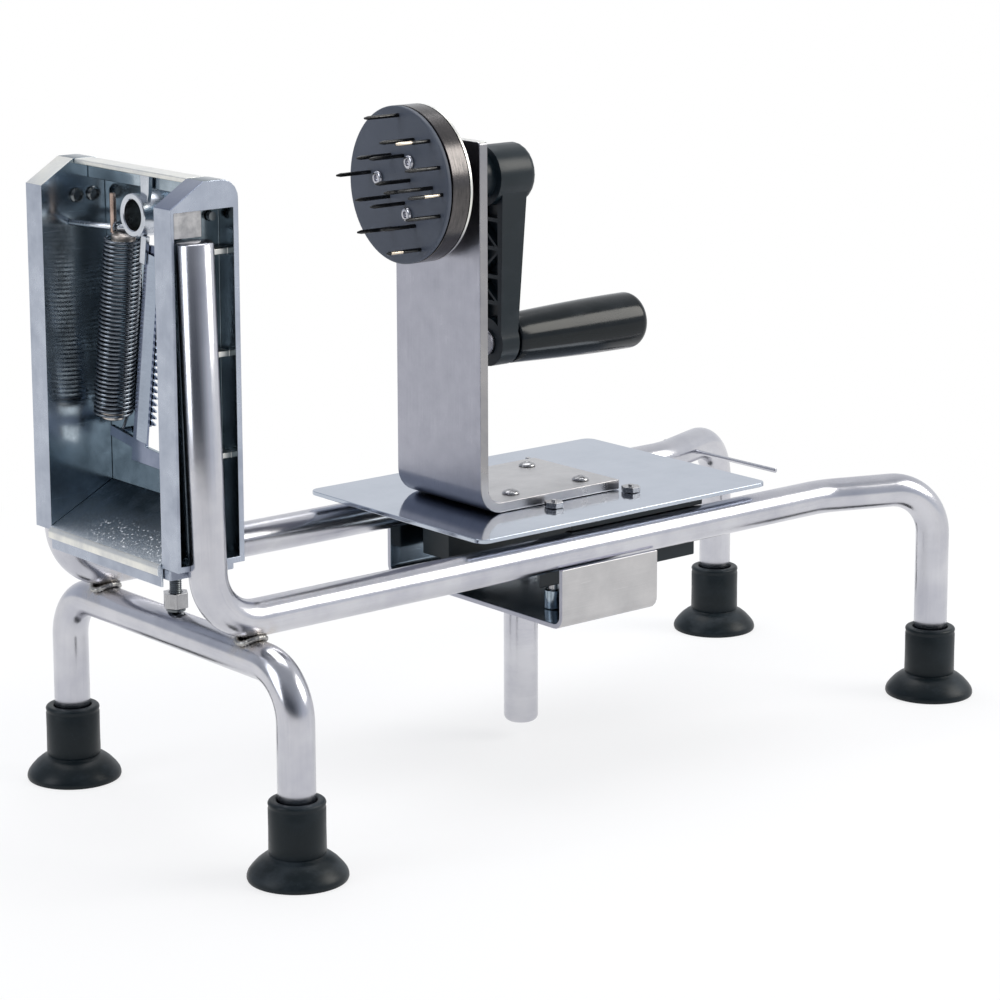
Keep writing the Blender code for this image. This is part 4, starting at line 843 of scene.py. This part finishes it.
# Face, turned backing with a painted highlight on its rear rim, prongs and socket screws
def makeDisc():
    d, centre = disc, (0, stand["axisZ"])
    seam = d["front"] + d["face"]
    profile = [(d["front"], 0), (d["front"], d["radius"] - 1.1)]
    profile += arcOf((d["front"] + 0.8, d["radius"] - 0.8), 0.8, 180, 90, 5)
    profile += [(seam - 0.2, d["radius"]), (seam, d["radius"] - 0.5), (seam, 0)]
    turnPiece("disc_face_plate", profile, "x", centre, "face", "crank", ["disc_face"], sides=96)
    start = seam + d["gap"]
    profile = [(start, 0), (start, d["radius"] - 1.0), (start + 0.5, d["radius"] - 1.0),
               (start + 0.6, d["radius"] - 0.2),
               (start + 0.8, d["radius"]), (d["back"] - 2.6, d["radius"]), (d["back"] - 2.5, d["radius"] - 0.35),
               (d["back"] - 2.1, d["radius"] - 0.35), (d["back"] - 2.0, d["radius"]), (d["back"] - 0.9, d["radius"]),
               (d["back"], d["radius"] - 0.9), (d["back"], d["bore"] + 0.3), (d["back"] - 0.3, d["bore"]),
               (d["boreStart"], d["bore"]), (d["boreStart"], 0)]
    piece = turnPiece("disc_backing_rim", profile, "x", centre, "backing", "crank", ["disc_backing"], sides=96)
    rimFront, rimInner = d["back"] - d["rim"], d["radius"] - 1.0
    # Painted highlight: the rear rim band in a pale yellowish finish
    paintAreas(piece, [("paintedHighlight", lambda x, y, z, n: x > rimFront and math.dist((y, z), centre) > rimInner)])
    number = 0
    for radius, angles in zip(d["rings"], d["angles"]):
        for angle in angles:
            number += 1
            tip, thick = d["tip"], d["prong"]
            profile = [(tip, 0), (tip + 0.3, thick * 0.5), (tip + 2.4, thick), (d["bands"][0], thick),
                       (d["bands"][1], thick), (d["root"], thick), (d["root"], 0)]
            piece = turnPiece("prong_%02d" % number, profile, "x", onDisc(radius, angle), "prong", "crank", sides=16)
            if number in d["ground"]:
                start, end = d["ground"][number]
                paintAreas(piece, [("tip", lambda x, y, z, n: start < x < end)])
    for number, angle in enumerate(d["screwAngles"]):
        front, head = d["front"] - d["gap"], d["screw"]
        top = front - d["screwRise"]
        profile = [(top + 0.9, 0), (top + 0.9, head * 0.42), (top, head * 0.5), (top, head * 0.72),
                   (top + 0.35, head * 0.92), (top + 0.8, head), (front, head), (front, 0)]
        node = "disc_screw_%d" % (number + 1)
        turnPiece(node + "_head", profile, "x", onDisc(d["screwRing"], angle), "tube", "crank", [node], sides=32)


spindle = {"front": 126.3, "back": 184.6, "radius": 5.0}
gripShape = {"front": 184.4, "back": 262.0, "bore": 4.3, "boreEnd": 252.0, "root": 11.3, "wide": 13.3, "round": 5.0,
             "z": 191.0, "steps": 12}
pinShape = {"head": 172.3, "headRadius": 6.0, "headLength": 1.4, "radius": 4.0, "end": 250.0}


def makeCrank():
    s, g, p = spindle, gripShape, pinShape
    profile = [(s["front"], 0), (s["front"], s["radius"]), (s["back"], s["radius"]), (s["back"], 0)]
    turnPiece("spindle_bar", profile, "x", (0, stand["axisZ"]), "tube", "crank", ["spindle"])
    breakEdges("crank_arm", "arm", 0.5, "z", 3, 40)
    breakEdges("crank_nut", "fastener", 0.4, "x")
    head = p["head"] - p["headLength"]
    profile = [(head, 0), (head, p["headRadius"] - 0.6), (head + 0.5, p["headRadius"]), (p["head"], p["headRadius"]),
               (p["head"], p["radius"]), (p["end"], p["radius"]), (p["end"], 0)]
    turnPiece("grip_pin_bar", profile, "x", (0, g["z"]), "fastener", "crank", ["grip_pin"], sides=32)
    profile = [(g["boreEnd"], 0), (g["boreEnd"], g["bore"]), (g["front"], g["bore"]), (g["front"], g["root"] - 0.9)]
    profile += arcOf((g["front"] + 0.9, g["root"] - 0.9), 0.9, 180, 90, 4)
    run = g["back"] - g["round"] - g["front"]
    for step in range(1, g["steps"]):
        swell = math.sin(step / g["steps"] * math.pi / 2)
        profile.append((g["front"] + run * step / g["steps"], g["root"] + (g["wide"] - g["root"]) * swell))
    profile += arcOf((g["back"] - g["round"], g["wide"] - g["round"]), g["round"], 90, 0, 10)
    profile += [(g["back"], 3.0), (g["back"] - 0.5, 2.4), (g["back"] - 0.6, 0)]
    turnPiece("grip_sleeve", profile, "x", (0, g["z"]), "grip", "grip", ["grip"], sides=64, limit=50)


makeDisc()
makeCrank()
print("disc and crank ready")

# Floor, camera and studio
studio = {"white": (1.0, 1.0, 1.0), "haze": (0.62, 0.66, 0.74), "dark": (0.06, 0.07, 0.09),
          "zenith": (0.42, 0.44, 0.48), "floor": (0.88, 0.88, 0.90), "floorHalf": 4.0, "lift": 0.74,
          "clear": (0.25, 0.55), "room": (-0.93, -0.36, 0.05), "mirrored": 0.6}
lamps = {  # place, aim, size, power, colour
    "key": ((1.4, -1.25, 1.25), (0, 0, 0.15), (1.1, 1.1), 24, (1.0, 0.97, 0.90)),
    "side": ((-1.9, 0.3, 0.9), (0, 0, 0.15), (0.8, 1.4), 13, (0.93, 0.96, 1.0)),
    "over": ((0.2, 0.5, 1.9), (0, 0, 0.1), (1.6, 1.2), 20, (1.0, 1.0, 1.0)),
}


def makeFloor():
    mesh = bpy.data.meshes.new("floor")
    size = studio["floorHalf"]
    mesh.from_pydata([(-size, -size, 0), (size, -size, 0), (size, size, 0), (-size, size, 0)], [], [(0, 1, 2, 3)])
    floor = bpy.data.objects.new("floor", mesh)
    bpy.context.scene.collection.objects.link(floor)
    material = bpy.data.materials.new("pale_floor")
    material.use_nodes = True
    board = Board(material.node_tree)
    lit = board.node("BsdfDiffuse", {}, {"Color": (*studio["floor"], 1)})
    glow = board.node("Emission", {}, {"Color": (*studio["white"], 1), "Strength": 1.0})
    away = board.node("VectorMath", {"operation": "LENGTH"}, {0: board.node("NewGeometry", {}, {}, 0)}, 1)
    share = studio["lift"] + (1 - studio["lift"]) * away.clamp(*studio["clear"])
    seen = board.ray(0) + board.ray(3) + board.ray(6)
    mixed = board.node("MixShader", {}, {0: seen * share, 1: lit, 2: glow})
    board.node("OutputMaterial", {}, {"Surface": mixed})
    mesh.materials.append(material)


# White round the object, darker towards the room behind the camera and overhead
def makeWorld():
    world = bpy.data.worlds.new("studio")
    bpy.context.scene.world = world
    world.use_nodes = True
    board = Board(world.node_tree)
    direction = board.node("TexCoord", {}, {}, 0)
    rise = board.node("SeparateXYZ", {}, {0: direction}, 2)
    room = board.node("VectorMath", {"operation": "DOT_PRODUCT"}, {0: direction, 1: studio["room"]}, 1)
    colour = board.tint(room.clamp(0.1, 0.85), studio["haze"], studio["dark"])
    colour = board.tint(rise.clamp(0.25, 0.85), colour, studio["zenith"])
    backdrop = 1 - room.clamp(-0.7, -0.1)
    mirrored = (board.ray(3) + board.ray(6)) * backdrop * studio["mirrored"]
    seen = board.ray(0) + mirrored
    colour = board.tint(seen, colour, studio["white"])
    background = board.node("Background", {}, {"Color": colour, "Strength": 1.0})
    board.node("OutputWorld", {}, {"Surface": background})


def makeLamp(name, spot, aim, size, energy, colour):
    light = bpy.data.lights.new(name, "AREA")
    light.shape = "RECTANGLE"
    light.size, light.size_y = size
    light.energy = energy
    light.color = colour
    lamp = bpy.data.objects.new(name, light)
    lamp.location = spot
    lamp.rotation_euler = (Vector(aim) - Vector(spot)).to_track_quat("-Z", "Y").to_euler()
    lamp.visible_camera = False
    bpy.context.scene.collection.objects.link(lamp)


shot = {"right": (0.77594616, -0.63077631, -0.00536756), "down": (-0.12323701, -0.14324321, -0.98198474),
        "forward": (0.61864384, 0.76262876, -0.18888401), "eye": (-0.90525, -1.07569, 0.45326), "focal": 3122.2,
        "centre": (456.69, 355.44), "pixels": 1000, "sensor": 36.0}


def makeCamera():
    right, down, forward = (Vector(shot[key]) for key in ("right", "down", "forward"))
    data = bpy.data.cameras.new("photo_camera")
    pixels, middle = shot["pixels"], shot["pixels"] / 2
    data.sensor_width = shot["sensor"]
    data.lens = shot["focal"] * shot["sensor"] / pixels
    data.shift_x = (middle - shot["centre"][0]) / pixels
    data.shift_y = (shot["centre"][1] - middle) / pixels
    camera = bpy.data.objects.new("photo_camera", data)
    turn = Matrix((right, -down, -forward)).transposed()
    camera.matrix_world = Matrix.Translation(shot["eye"]) @ turn.to_4x4()
    bpy.context.scene.collection.objects.link(camera)
    bpy.context.scene.camera = camera


makeFloor()
makeWorld()
for name, lamp in lamps.items():
    makeLamp(name, *lamp)
makeCamera()
bpy.context.scene.view_settings.view_transform = "Standard"
print("studio ready")
